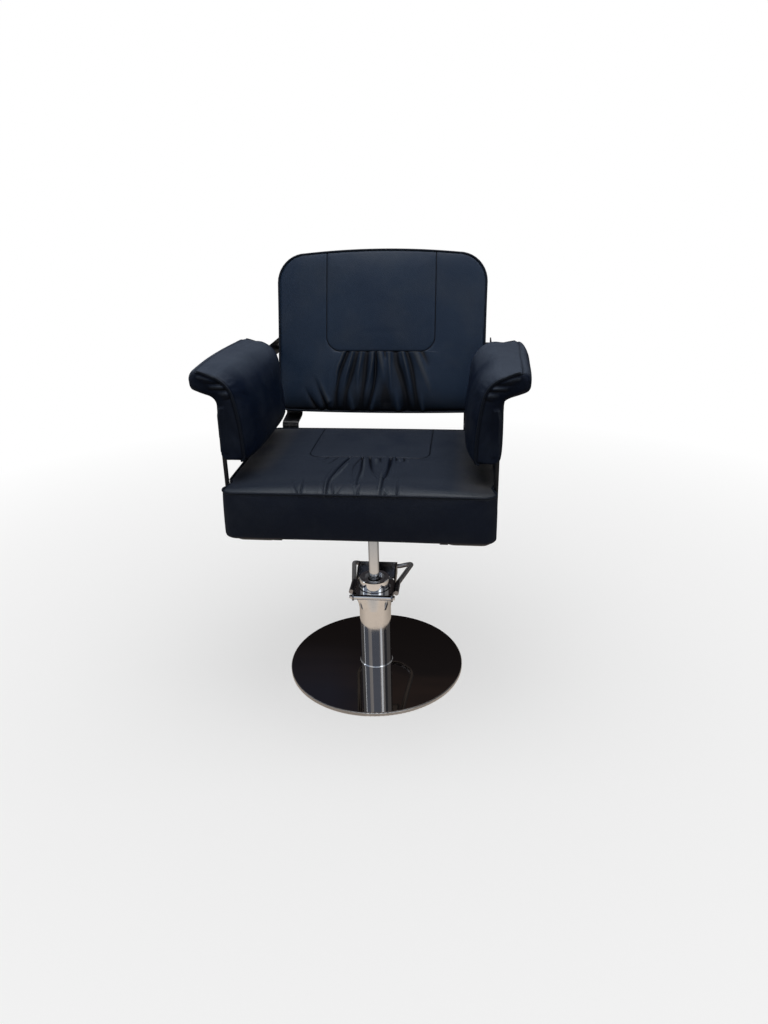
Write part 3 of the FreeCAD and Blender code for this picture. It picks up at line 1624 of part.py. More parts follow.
def make_arms():
    gap = value("soft_gap")
    over = value("overrun")
    fine = value("seat_gap")
    across = Vector(1, 0, 0)
    front = -value("arm_front")
    rear = value("arm_rear")
    middle = (front + rear) / 2
    x = value("arm_rod_x")
    low = value("arm_rod_level")
    top = value("arm_rod_top")
    rail = value("rail_inner") + value("rail_width") / 2
    rod_front = -value("arm_rod_front")
    rod_rear = value("arm_rod_rear")
    bend = value("arm_rod_bend")
    path = [
        Vector(x, rod_front, top),
        Vector(x, rod_front, low),
        Vector(rail, rod_front, low),
        Vector(rail, rod_rear, low),
        Vector(x, rod_rear, low),
        Vector(x, rod_rear, top),
    ]
    radius = value("arm_rod_diameter") / 2
    both_sides("arm_frame", round_rod(path, [bend] * 4, radius))
    inner = value("arm_plate_inner")
    outer = value("arm_plate_outer")
    thick = outer - inner - fine
    plate = prism(arm_plate_outline(0, inner + fine / 2), across * thick)
    board_low = Vector(
        value("arm_board_inner"),
        -value("arm_plate_front") + value("arm_board_margin"),
        value("arm_plate_bottom") - value("arm_board_margin"),
    )
    board_deep = value("arm_plate_rear") + value("arm_plate_front") - value("arm_board_margin") * 2
    board_tall = value("arm_plate_top") - value("arm_plate_bottom") + value("arm_board_margin")
    board = Part.makeBox(value("arm_board_thickness"), board_deep, board_tall, board_low)
    head_deep = value("arm_screw_head_height")
    head_wide = value("arm_screw_head_diameter") / 2
    shank = value("arm_screw_diameter") / 2
    reach = value("arm_screw_reach")
    screws = []
    for y, z in arm_screw_spots():
        seat = Vector(inner + fine / 2 + thick, y, z)
        head = Part.makeCylinder(head_wide, head_deep, seat, -across)
        stem = Part.makeCylinder(shank, thick + reach, seat, -across)
        screws.append(head.fuse(stem))
        plate = plate.cut(Part.makeCylinder(head_wide + fine, head_deep + fine, seat, -across))
        hole = Part.makeCylinder(shank + fine, thick + reach + fine, seat, -across)
        plate = plate.cut(hole)
        board = board.cut(hole)
    bolt = link_bolt()
    link_hole = value("link_screw_diameter") / 2 + fine
    plate = plate.cut(Part.makeCylinder(link_hole, thick + over * 2, Vector(inner - over, bolt.y, bolt.z), across))
    both_sides("arm_plate", plate)
    both_sides("arm_board", board)
    mirrored = [one.mirror(Vector(0, 0, 0), across) for one in screws]
    keep(feature("ArmScrews", Part.makeCompound(screws + mirrored)), "arm_screws")
    pad = Part.makeLoft(
        [arm_section(front, 0), arm_section(middle, value("arm_inner_bulge")), arm_section(rear, 0)],
        True,
        False,
    )
    room = prism(arm_plate_outline(gap, inner - gap), across * (outer - inner + 2 * gap))
    grow = Vector(gap, gap, gap)
    nest = Part.makeBox(
        value("arm_board_thickness") + 2 * gap, board_deep + 2 * gap, board_tall + 2 * gap, board_low - grow
    )
    pad = pad.cut(room).cut(nest)
    for y in (rod_front, rod_rear):
        start = Vector(x, y, value("arm_bottom") - over)
        pad = pad.cut(Part.makeCylinder(radius + gap, top - start.z + gap, start))
    both_sides("arm_pad", pad)
    spacers = []
    bolts = []
    face = value("back_width") / 2
    for sign in (1, -1):
        out = across * sign
        start = Vector(sign * (face + gap), bolt.y, bolt.z)
        ring = Part.makeCylinder(value("link_spacer_diameter") / 2, inner - face - gap, start, out)
        ring = ring.cut(Part.makeCylinder(link_hole, inner, start - out * over, out))
        spacers.append(ring)
        seat = Vector(sign * outer, bolt.y, bolt.z)
        head = Part.makeCylinder(
            value("link_screw_head_diameter") / 2, value("link_screw_head_height"), seat, out
        )
        length = outer - face + value("link_screw_reach") - over
        stem = Part.makeCylinder(value("link_screw_diameter") / 2, length, seat, -out)
        bolts.append(head.fuse(stem))
    keep(feature("LinkSpacers", Part.makeCompound(spacers)), "link_spacers")
    keep(feature("LinkBolts", Part.makeCompound(bolts)), "link_bolts")


def make_rails():
    for side, sign in SIDES:
        rail = side_block(
            f"RailBlank{side}", sign,
            ("rail_inner", "-rail_front", "rail_bottom"),
            ("rail_inner + rail_width", "rail_rear", "rail_top"),
        )
        holes = []
        for index, (x, y) in enumerate(rail_spots()):
            holes.append(bar(
                f"RailHole{side}{index}", (on_side(sign, x), y, "rail_bottom - overrun"), "up",
                "rail_screw_diameter / 2 + seat_gap", "rail_top - rail_bottom + overrun * 2",
            ))
            holes.append(bar(
                f"RailSink{side}{index}", (on_side(sign, x), y, "rail_bottom - overrun"), "up",
                "rail_screw_head_diameter / 2 + seat_gap", "rail_screw_head_height + overrun",
            ))
        keep(less(f"ArmRail{side}", rail, holes), f"arm_rail_{side}")
    screws = []
    for side, sign in SIDES:
        for index, (x, y) in enumerate(rail_spots()):
            seat = (on_side(sign, x), y, "rail_bottom + rail_screw_head_height")
            reach = "seat_bottom - rail_bottom - rail_screw_head_height + rail_screw_reach"
            screws.append(screw(f"RailScrew{side}{index}", seat, "up", "rail_screw", reach))
    keep(group("RailScrews", screws), "rail_screws")


make_base()
make_pump()
make_ram()
make_pedal()
make_plunger()
make_carrier()
make_seat()
make_back()
make_straps()
make_arms()
make_rails()

doc.recompute()
for obj in doc.Objects:
    if "Invalid" in obj.State or "Error" in obj.State:
        raise RuntimeError(f"{obj.Name} failed: {obj.State}")
os.makedirs("parts", exist_ok=True)
for node in NODES:
    if node.Shape.isNull() or not node.Shape.isValid() or not node.Shape.Solids:
        raise RuntimeError(f"{node.Label} has no valid solid")
    node.Shape.exportStep(f"parts/{node.Label}.step")
print(len(NODES), "nodes written")
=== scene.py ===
# %% [markdown]
# # A salon threading chair
#
# The chair has a padded seat, a leaning back and two gull-wing arm pads on bent black rods. A chrome
# pump with a foot pedal carries it over a round mirror base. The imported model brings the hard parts
# at their real size. This lesson dresses them: it gives each one its finish, and makes the
# upholstery, which hard modelling cannot do well.

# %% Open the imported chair
import json
import math

import bmesh
import bpy
import numpy as np
from mathutils import Matrix, Vector
from mathutils.bvhtree import BVHTree


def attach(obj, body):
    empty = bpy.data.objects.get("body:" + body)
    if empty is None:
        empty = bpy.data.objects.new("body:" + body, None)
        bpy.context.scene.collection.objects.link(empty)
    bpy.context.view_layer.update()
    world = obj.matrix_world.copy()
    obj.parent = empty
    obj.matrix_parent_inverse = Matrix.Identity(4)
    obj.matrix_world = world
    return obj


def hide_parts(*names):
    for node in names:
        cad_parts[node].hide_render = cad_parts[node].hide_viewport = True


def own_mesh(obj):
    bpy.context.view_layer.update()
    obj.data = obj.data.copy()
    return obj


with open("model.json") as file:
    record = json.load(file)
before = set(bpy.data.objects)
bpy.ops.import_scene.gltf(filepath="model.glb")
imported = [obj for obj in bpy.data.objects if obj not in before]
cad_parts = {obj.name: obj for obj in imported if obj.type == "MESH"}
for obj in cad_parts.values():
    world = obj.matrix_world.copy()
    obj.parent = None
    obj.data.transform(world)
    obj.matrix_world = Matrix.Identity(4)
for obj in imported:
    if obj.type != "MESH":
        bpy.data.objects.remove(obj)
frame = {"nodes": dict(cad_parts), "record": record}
scene = bpy.context.scene
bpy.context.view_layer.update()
nodes = frame["nodes"]

# %% [markdown]
# ## The camera
#
# The photograph was taken by someone standing in front of the chair, a little to its left-hand side
# as the sitter sees it, with a phone held at chest height and tipped down. A camera is a place, three
# turns and a lens. The turns are made one after another: the heading, the tip down, and the slight
# roll of a hand-held phone.

# %% Stand where the photographer stood
CAMERA_BEARING = math.radians(7.397)
CAMERA_DISTANCE = 1.609
CAMERA_HEIGHT = 1.121
CAMERA_HEADING = math.radians(6.449)
CAMERA_TIP = math.radians(23.63)
CAMERA_ROLL = math.radians(-1.25)
FOCAL_LENGTH = 26.58


def add_object(name, data):
    made = bpy.data.objects.new(name, data)
    scene.collection.objects.link(made)
    return made


def stand_camera():
    camera = add_object("PhoneCamera", bpy.data.cameras.new("PhoneCamera"))
    camera.data.lens = FOCAL_LENGTH
    place = Vector((math.sin(CAMERA_BEARING), -math.cos(CAMERA_BEARING), 0)) * CAMERA_DISTANCE
    place.z = CAMERA_HEIGHT
    turn = Matrix.Rotation(CAMERA_HEADING, 4, "Z") @ Matrix.Rotation(math.pi / 2 - CAMERA_TIP, 4, "X")
    camera.matrix_world = Matrix.Translation(place) @ turn @ Matrix.Rotation(CAMERA_ROLL, 4, "Z")
    scene.camera = camera
    return camera


print("camera at", tuple(round(v, 3) for v in stand_camera().matrix_world.translation))

# %% [markdown]
# ## Recipes for finishes
#
# Every finish below is a small network of shader nodes, written as a recipe. Each step of a recipe
# adds one node and wires its inputs, which may be numbers, colours or the results of other steps.

# %% Write recipes
class Recipe:
    """A finish in the making: its steps add shader nodes and give back what they put out."""

    def __init__(self, name, library=bpy.data.materials, shader="Principled BSDF", **sockets):
        self.made = library.new(name)
        self.made.use_nodes = True
        self.tree = self.made.node_tree
        self.shader = self.tree.nodes[shader]
        self.spot = self.add("TexCoord").outputs["Object"]
        for socket, given in sockets.items():
            self.shader.inputs[socket.replace("_", " ")].default_value = given

    def add(self, kind, inputs=None, **settings):
        """Adds a node; inputs are values or results, settings are the node's own options."""
        made = self.tree.nodes.new("ShaderNode" + kind)
        for name, setting in settings.items():
            setattr(made, name, setting)
        for name, given in (inputs or {}).items():
            self.feed(made.inputs[name], given)
        return made

    def feed(self, socket, given):
        if isinstance(given, bpy.types.NodeSocket):
            self.tree.links.new(given, socket)
        else:
            socket.default_value = given

    def cloudy(self, scale, detail=3.0, rough=0.5, spot=None):
        """Soft blotches, as a number round a half."""
        inputs = {"Vector": spot or self.spot, "Scale": scale, "Detail": detail, "Roughness": rough}
        return self.add("TexNoise", inputs).outputs["Fac"]

    def streaky(self, scale, detail, rough, spot=None):
        """Blotches of a different size along each axis."""
        longer = self.add("VectorMath", {0: spot or self.spot, 1: scale}, operation="MULTIPLY").outputs[0]
        return self.cloudy(1.0, detail, rough, longer)

    def cells(self, scale):
        """How far a spot lies from the middle of its cell."""
        return self.add("TexVoronoi", {"Vector": self.spot, "Scale": scale}).outputs["Distance"]

    def between(self, share, low, high, start=0.0, end=1.0):
        """Turns a number from start to end into one from low to high."""
        inputs = {"Value": share, "From Min": start, "From Max": end, "To Min": low, "To Max": high}
        return self.add("MapRange", inputs).outputs["Result"]

    def math(self, operation, first, second=0.0):
        return self.add("Math", {0: first, 1: second}, operation=operation).outputs[0]

    def plus(self, first, second):
        return self.math("ADD", first, second)

    def times(self, first, second):
        return self.math("MULTIPLY", first, second)

    def larger(self, first, second):
        return self.math("MAXIMUM", first, second)

    def mixed(self, share, first, second):
        """Blends two colours by a number."""
        return self.add("Mix", {0: share, 6: first, 7: second}, data_type="RGBA").outputs[2]

    def parts(self, vector):
        """A vector's X, Y and Z."""
        return self.add("SeparateXYZ", {0: vector}).outputs

    def ground(self, wanted):
        """What the surface itself tells: its Position, its Normal or its Pointiness."""
        return self.add("NewGeometry").outputs[wanted]

    def upward(self, low, high, start, end):
        """From low on a side to high on a top."""
        return self.between(self.parts(self.ground("Normal"))["Z"], low, high, start, end)

    def worn_edges(self, sharpness=0.52):
        """1 where a mesh stands out as an edge, 0 on flat ground."""
        return self.between(self.ground("Pointiness"), 0.0, 1.0, sharpness, sharpness + 0.06)

    def raised(self, height, distance, strength=1.0, under=None):
        """A bump: height 0 to 1 stands for 0 to distance metres."""
        inputs = {"Height": height, "Distance": distance, "Strength": strength}
        if under is not None:
            inputs["Normal"] = under
        return self.add("Bump", inputs).outputs["Normal"]

    def glow(self, tone, strength=1.0):
        return self.add("Emission", {"Color": tone, "Strength": strength}).outputs[0]

    def served(self, tone, gloss, relief=None):
        """Wires the colour, the roughness and the relief, and gives back the material."""
        self.feed(self.shader.inputs["Base Color"], tone)
        self.feed(self.shader.inputs["Roughness"], gloss)
        if relief:
            self.feed(self.shader.inputs["Normal"], relief)
        return self.made

    def shown(self, result):
        """Shows a result as it is, with no other shader, and gives back the material."""
        self.tree.nodes.remove(self.shader)
        self.feed(self.tree.nodes["Material Output"].inputs["Surface"], result)
        return self.made


def shaded(tone, share):
    """A colour made darker, or paler up to white."""
    return tuple(min(1.0, channel * share) for channel in tone[:3]) + (1,)


print("recipe steps ready")

# %% [markdown]
# ## Leatherette
#
# The upholstery is black PVC leatherette with a navy cast. Up close it has pebbles about a
# millimetre across, printed into the vinyl by a roller. Cells of a Voronoi texture look like such
# pebbles, and a finer noise breaks up their tops. The colour is nearly flat on a real one, so only a
# faint cloudiness, a duller bloom where hands and clothes rub, paler worn edges and a painted sheen
# on the upper faces are mixed in. The folds made further below give each spot painted shade in a
# pocket or a painted highlight on a ridge.

# %% Make the leatherette
LEATHER_DEEP = (0.0105, 0.0165, 0.0300, 1)
LEATHER_BLOOM = (0.0150, 0.0215, 0.0360, 1)
# The worn tones are paler for worn edges, and also a painted sheen on upper faces and ridges.
LEATHER_WEAR_AND_SHEEN = (0.0420, 0.0510, 0.0660, 1)
# The seam tone darkens the sewn line, and is also painted shade in creases and pockets.
LEATHER_SEAM_AND_SHADE = (0.0012, 0.0024, 0.0056, 1)
LEATHER_DUST_AND_LIGHT = (0.105, 0.100, 0.094, 1)
PEBBLES_PER_METRE = 620
PEBBLE_HEIGHT = 0.00022
PEBBLE_DRIFT = 0.0035
SEAM_DEPTH = 0.0009


def leather_grain(mix):
    """Pebbles that wander a little, as domes from 0 to 1."""
    drift = mix.add("TexNoise", {"Vector": mix.spot, "Scale": 90.0, "Detail": 2.0}).outputs["Color"]
    bent = mix.add("VectorMath", {0: drift, 3: PEBBLE_DRIFT}, operation="SCALE").outputs[0]
    wandering = mix.add("VectorMath", {0: mix.spot, 1: bent}).outputs[0]
    pebbles = {"Vector": wandering, "Scale": PEBBLES_PER_METRE}
    away = mix.add("TexVoronoi", pebbles, feature="SMOOTH_F1").outputs["Distance"]
    return mix.between(away, 1.0, 0.0, 0.05, 0.62)


def leatherette(name, rubbed=0.3, tint=(1, 1, 1), wear_and_sheen_tone=LEATHER_WEAR_AND_SHEEN, shine=0.16, seam=None, dust=None):
    """Black leatherette, its upper faces painted paler as a sheen; seam gives 0 on a sewn line and 1 beside
    it.
    """
    mix = Recipe(name, Specular_IOR_Level=shine)
    # tint makes a lighter or darker copy of the leatherette for one piece: painted light or painted shade.
    deep, bloom = (
        tuple(channel * share for channel, share in zip(tone, tint)) + (1,)
        for tone in (LEATHER_DEEP, LEATHER_BLOOM)
    )
    # The folds' attribute: a painted highlight above 0 on ridges, painted shade below 0 in pockets.
    folds = mix.add("Attribute", attribute_name="folds").outputs["Fac"]
    ridge_highlight = mix.between(folds, 0.0, 1.0)
    pocket = mix.between(folds, 0.0, 1.0, 0.0, -1.0)
    domes = leather_grain(mix)
    grain = mix.plus(domes, mix.times(mix.cloudy(1900.0, 2.0), 0.25))
    relief = mix.raised(grain, PEBBLE_HEIGHT, 0.75, mix.raised(mix.cloudy(9.0, 2.0), 0.004, 0.35))
    cloud = mix.between(mix.cloudy(5.0, 4.0, 0.6), 0.0, 1.0, 0.35, 0.7)
    # Painted sheen: upper faces are mixed towards the paler tone, as light from above shows them; worn
    # carries this sheen together with the paler worn edges.
    top_sheen_share = mix.plus(mix.upward(0.0, rubbed, 0.45, 0.98), mix.cloudy(11.0, 3.0))
    worn = mix.larger(mix.between(top_sheen_share, 0.0, rubbed, 0.45, 0.45 + rubbed), mix.worn_edges())
    tone = mix.mixed(mix.larger(worn, ridge_highlight), mix.mixed(cloud, deep, bloom), wear_and_sheen_tone)
    # Pale patches where given: dust, and a painted pool of light.
    if dust:
        tone = mix.mixed(dust(mix), tone, LEATHER_DUST_AND_LIGHT)
    # Painted shade: creases, found by pointiness, and the folds' pockets are darkened towards the seam tone.
    crease_shade = mix.between(mix.ground("Pointiness"), 1.0, 0.0, 0.40, 0.485)
    tone = mix.mixed(mix.larger(crease_shade, pocket), tone, LEATHER_SEAM_AND_SHADE)
    if seam:
        beside = seam(mix)
        relief = mix.raised(beside, SEAM_DEPTH, 1.0, relief)
        tone = mix.mixed(beside, LEATHER_SEAM_AND_SHADE, tone)
    rub = mix.cloudy(14.0, 5.0, 0.65)
    gloss = mix.plus(mix.between(rub, 0.40, 0.54, 0.3, 0.7), mix.times(domes, -0.06))
    return mix.served(tone, mix.plus(gloss, mix.times(ridge_highlight, -0.08)), relief)


LEATHERETTE = leatherette("Leatherette")
# Piping: a darker copy of the leatherette, painted shade along the borders.
PIPING_WEAR_AND_SHEEN = (0.0150, 0.0195, 0.0280, 1)
PIPING_LEATHERETTE = leatherette("PipingLeatherette", 0.05, (0.35, 0.40, 0.50), PIPING_WEAR_AND_SHEEN, shine=0.10)
# Arms: a darker copy, painted shade on their sides, with a strong painted sheen on their tops.
ARM_WEAR_AND_SHEEN = (0.062, 0.077, 0.105, 1)
ARM_LEATHERETTE = leatherette("ArmLeatherette", 0.8, (0.31, 0.43, 0.65), ARM_WEAR_AND_SHEEN, shine=0.08)
print("leatherette:", len(LEATHERETTE.node_tree.nodes), "nodes")

# %% [markdown]
# ## Metals
#
# Bright chrome covers the pump and ram. It is a mirror, but never a perfect one: fingers leave faint
# smudges that only show as a duller patch in the reflection, and wiping leaves hair-fine scratches
# along the tube. Both go into roughness, not colour. The pedal is chromed too and dirty from shoes,
# and its chrome is painted darker as a painted reflection of dark surroundings. The base's cover is
# a black mirror finish, and its steel edge has turning marks.

# %% Make the metals
CHROME = (0.60, 0.605, 0.615, 1)
HAIR_FINE = (400.0, 400.0, 9.0)
BRACKET_LEVELS = (0.16, 0.213)


def bright_metal(name, tone, smudges=(0.03, 0.14), scratches=HAIR_FINE, dirt=0.12, flare=0.0, oiled=0.0):
    """Polished metal with smudges and scratches; flare turns its sides upward, oiled dulls its top."""
    mix = Recipe(name, Metallic=1.0)
    hairs = mix.streaky(scratches, 3.0, 0.7)
    blend = mix.plus(mix.cloudy(26.0, 5.0, 0.62), mix.times(hairs, 0.35))
    gloss = mix.between(blend, *smudges, 0.45, 0.95)
    if oiled:
        gloss = mix.plus(gloss, mix.upward(0.0, oiled, 0.8, 0.95))
    soil = mix.between(mix.cloudy(60.0, 6.0, 0.7), 0.0, dirt, 0.5, 0.8)
    soiled = mix.mixed(soil, tone, shaded(tone, 0.35))
    belly = None
    if flare:
        bottom, top = BRACKET_LEVELS
        level = mix.between(mix.parts(mix.spot)["Z"], 1.0, 0.0, bottom, top)
        belly = mix.raised(level, (top - bottom) * flare)
    return mix.served(soiled, gloss, mix.raised(hairs, 0.00002, 0.25, belly))


def black_mirror(name):
    """The base's cover: a dark mirror with dust on it."""
    mix = Recipe(name, Metallic=1.0)
    motes = mix.between(mix.cells(210.0), 1.0, 0.0, 0.03, 0.06)
    specks = mix.times(motes, mix.between(mix.cloudy(22.0, 4.0), 0.0, 1.0, 0.52, 0.7))
    film = mix.cloudy(7.0, 5.0, 0.6)
    tint = mix.mixed(film, (0.210, 0.198, 0.195, 1), (0.260, 0.240, 0.228, 1))
    haze = mix.between(film, 0.015, 0.055, 0.35, 0.7)
    return mix.served(mix.mixed(specks, tint, (0.4, 0.39, 0.37, 1)), mix.plus(haze, mix.times(specks, 0.5)))


def worked_steel(name, tone, roughness, marks):
    """Steel with tool marks: marks is how often they come along X, Y and Z, per metre."""
    mix = Recipe(name, Metallic=1.0)
    lines = mix.streaky(marks, 4.0, 0.7)
    patches = mix.cloudy(30.0, 4.0, 0.6)
    worn = mix.mixed(mix.worn_edges(), mix.mixed(patches, shaded(tone, 0.7), tone), shaded(tone, 1.25))
    gloss = mix.between(mix.plus(lines, patches), roughness - 0.08, roughness + 0.1, 0.6, 1.4)
    return mix.served(worn, gloss, mix.raised(lines, 0.00006, 0.6))


def cast_iron(name):
    """Sand-cast iron: pitted, dull and grey."""
    mix = Recipe(name, Metallic=0.7)
    pits = mix.cloudy(420.0, 5.0, 0.7)
    tone = mix.mixed(pits, (0.05, 0.05, 0.052, 1), (0.14, 0.138, 0.135, 1))
    return mix.served(tone, mix.between(pits, 0.55, 0.8), mix.raised(pits, 0.0004, 0.8))


METALS = {
    "chrome": bright_metal("BrightChrome", CHROME),
    # The pedal's chrome: shoe dirt, and a darker tone that is a painted reflection of dark surroundings.
    "dark_chrome": bright_metal(
        "ScuffedChromePaintedDark", (0.26, 0.26, 0.275, 1), smudges=(0.10, 0.32), scratches=(90.0, 90.0, 60.0), dirt=0.6
    ),
    "black_mirror": black_mirror("BlackMirror"),
    "base_steel": worked_steel("TurnedEdgeSteel", (0.30, 0.30, 0.305, 1), 0.30, (30.0, 30.0, 2600.0)),
    "zinc_steel": worked_steel("ZincPlatedSteel", (0.55, 0.56, 0.58, 1), 0.30, (500.0, 500.0, 500.0)),
    "pump_steel": worked_steel("TurnedPumpSteel", (0.42, 0.43, 0.45, 1), 0.33, (40.0, 40.0, 1800.0)),
    "spring_steel": worked_steel("SpringWireSteel", (0.22, 0.22, 0.23, 1), 0.38, (700.0, 700.0, 700.0)),
    "bronze": worked_steel("BushBronze", (0.50, 0.34, 0.15, 1), 0.34, (40.0, 40.0, 1500.0)),
    "cast_foot": cast_iron("PumpCastIron"),
}
print("metals:", ", ".join(METALS))

# %% [markdown]
# ## Paint, rubber, wood and cloth
#
# The arm rods, straps and seat plate wear glossy black paint, with the faint orange peel of a sprayed
# coat and chips on the edges. The floor pad and seals are dull rubber. The boards inside the cushions
# are plywood, with long grain in the face and plies in the edge. Under the seat a thin black
# non-woven cloth is stapled, made of pressed fibres.

# %% Make the other finishes
def gloss_paint(name):
    mix = Recipe(name, Specular_IOR_Level=0.35, Coat_Weight=0.15, Coat_Roughness=0.12)
    chips = mix.times(mix.worn_edges(0.56), mix.cloudy(160.0, 4.0))
    tone = mix.mixed(mix.cloudy(18.0, 4.0), (0.006, 0.006, 0.008, 1), (0.013, 0.013, 0.016, 1))
    tone = mix.mixed(mix.between(chips, 0.0, 1.0, 0.52, 0.72), tone, (0.09, 0.085, 0.085, 1))
    peel = mix.raised(mix.cloudy(380.0, 2.0), 0.00008, 0.4)
    return mix.served(tone, mix.between(mix.cloudy(12.0, 3.0), 0.24, 0.36), peel)


def dull_rubber(name):
    mix = Recipe(name, Specular_IOR_Level=0.3)
    bloom = mix.cloudy(70.0, 5.0, 0.65)
    tone = mix.mixed(bloom, (0.010, 0.010, 0.010, 1), (0.035, 0.034, 0.033, 1))
    return mix.served(tone, mix.between(bloom, 0.65, 0.9), mix.raised(mix.cloudy(900.0, 3.0), 0.0001, 0.5))


def plywood(name):
    mix = Recipe(name, Specular_IOR_Level=0.25)
    grain = mix.streaky((6.0, 140.0, 140.0), 6.0, 0.6)
    bands = {"Vector": mix.spot, "Scale": 110.0, "Distortion": 0.6}
    plies = mix.add("TexWave", bands, bands_direction="Z").outputs["Fac"]
    face = mix.mixed(grain, (0.30, 0.19, 0.10, 1), (0.58, 0.42, 0.26, 1))
    tone = mix.mixed(mix.times(plies, 0.35), face, (0.24, 0.15, 0.08, 1))
    return mix.served(tone, mix.between(grain, 0.6, 0.8), mix.raised(grain, 0.0003, 0.5))


def pressed_cloth(name):
    mix = Recipe(name, Specular_IOR_Level=0.1, Sheen_Weight=0.25)
    fibres = mix.cloudy(1500.0, 5.0, 0.75)
    pressed = mix.between(mix.cells(420.0), 0.0, 1.0, 0.15, 0.3)
    tone = mix.mixed(mix.times(fibres, pressed), (0.008, 0.008, 0.009, 1), (0.035, 0.035, 0.037, 1))
    return mix.served(tone, mix.between(fibres, 0.8, 0.95), mix.raised(pressed, 0.0002, 0.7))


FINISHES = {
    **METALS,
    "leatherette": LEATHERETTE,
    "black_steel": gloss_paint("GlossBlackPaint"),
    "rubber": dull_rubber("DullRubber"),
    "plywood": plywood("BirchPlywood"),
    "dust_cloth": pressed_cloth("PressedDustCloth"),
}
print("finishes:", len(FINISHES))

# %% [markdown]
# ## Dress the hard parts
#
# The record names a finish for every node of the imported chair, so the finishes go on by name. The
# nodes keep their meshes: only the material slots change. Two chromed parts get a finish of their
# own: the bracket, whose front leans, and the pump's head, whose top is dull with oil.

# %% Give each node its finish
def dress(piece, slot):
    piece.data.materials.clear()
    piece.data.materials.append(FINISHES[slot])


for row in frame["record"]["subparts"]:
    dress(nodes[row["node"]], row["material_slot"])
nodes["pivot_bracket"].data.materials[0] = bright_metal("BracketChrome", CHROME, flare=0.22)
nodes["pump_head"].data.materials[0] = bright_metal("HeadChrome", (0.66, 0.665, 0.675, 1), oiled=0.35)

# %% [markdown]
# ## Meshes from points
#
# The upholstery starts as plain closed shapes made of rings of points. Each ring has as many points
# as the next, so neighbouring rings are joined with four-sided faces, and the ends are closed.

# %% Build meshes from rings
def new_piece(name, points, faces, slot="leatherette", body="seat"):
    """A mesh object that rides on a body and takes its finish from a slot of the record."""
    mesh = bpy.data.meshes.new(name)
    mesh.from_pydata([tuple(point) for point in points], [], faces)
    mesh.update()
    piece = add_object(name, mesh)
    dress(piece, slot)
    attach(piece, body)
    return piece


def ring_faces(rings, count, closed=True):
    """Faces between rings of points, and over both ends where closed."""
    faces = []
    for ring in range(rings - 1):
        for index in range(count):
            after = (index + 1) % count
            low, high = ring * count, (ring + 1) * count
            faces.append((low + index, low + after, high + after, high + index))
    if closed:
        faces.append(tuple(reversed(range(count))))
        faces.append(tuple(range((rings - 1) * count, rings * count)))
    return faces


def closed_block(name, rings):
    """A closed piece of leatherette with a ring of points after another."""
    return new_piece(name, [point for ring in rings for point in ring], ring_faces(len(rings), len(rings[0])))


def table_of(data, field):
    table = np.empty(len(data) * 3, np.float32)
    data.foreach_get(field, table)
    return table.reshape(-1, 3).astype(float)


def points_of(piece):
    """A piece's points as a table of x, y and z."""
    return table_of(piece.data.vertices, "co")


def set_points(piece, table):
    piece.data.vertices.foreach_set("co", table.astype(np.float32).ravel())
    piece.data.update()


def press(piece, height):
    """Moves each point along its normal."""
    normals = table_of(piece.data.vertex_normals, "vector")
    set_points(piece, points_of(piece) + normals * height[:, None])


def bake(piece, kind=None, **settings):
    """Adds the modifier that is named, and makes the changed shape the piece's own smooth mesh."""
    if kind:
        modifier = piece.modifiers.new(kind.title(), kind)
        for name, setting in settings.items():
            setattr(modifier, name, setting)
    bpy.context.view_layer.update()
    solid = piece.evaluated_get(bpy.context.evaluated_depsgraph_get())
    mesh = bpy.data.meshes.new_from_object(solid)
    piece.modifiers.clear()
    piece.data = mesh
    mesh.shade_smooth()
    return piece


def resurface(piece, voxel):
    """Covers the piece with an even net of four-sided faces that lies on its old surface."""
    old = bmesh.new()
    old.from_mesh(piece.data)
    surface = BVHTree.FromBMesh(old)
    bake(piece, "REMESH", mode="VOXEL", voxel_size=voxel)
    bake(piece, "SMOOTH", iterations=3)
    set_points(piece, np.array([surface.find_nearest(spot)[0] for spot in points_of(piece)]))
    old.free()
    return piece


def divide(piece):
    return bake(piece, "SUBSURF", levels=1)


def refine(piece, chosen):
    """Divides the faces once more whose points are all chosen, where the folds are fine."""
    net = bmesh.new()
    net.from_mesh(piece.data)
    faces = [face for face in net.faces if all(chosen[corner.index] for corner in face.verts)]
    edges = list({edge for face in faces for edge in face.edges})
    bmesh.ops.subdivide_edges(net, edges=edges, cuts=1, use_grid_fill=True)
    net.to_mesh(piece.data)
    net.free()
    piece.data.shade_smooth()


def tell_fold_shading(piece, tone):
    """Keeps the painted shade (below 0) and the painted highlight (above 0) that the folds give each point.
    """
    layer = piece.data.attributes.new("folds", "FLOAT", "POINT")
    layer.data.foreach_set("value", np.clip(tone, -1, 1).astype(np.float32))


def seat_in_place(piece, node):
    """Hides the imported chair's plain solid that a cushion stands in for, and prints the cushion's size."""
    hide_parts(node)
    print(piece.name, len(piece.data.vertices), "points,", [round(v, 4) for v in piece.dimensions])


print("mesh helpers ready")

# %% [markdown]
# ## Stuffing a cover
#
# A cushion's cover is cut a little small and pulled over foam, so each panel swells between its
# seams while the seams stay down. Blender's cloth does the same: the net's points near a seam are
# pinned, and pressure inside pushes the others out for twenty frames. How far a point may move is
# capped, because foam stops the cover from ballooning.

# %% Swell the panels between their seams
STUFFING_FRAMES = 20
STUFFING_PRESSURE = 4.0


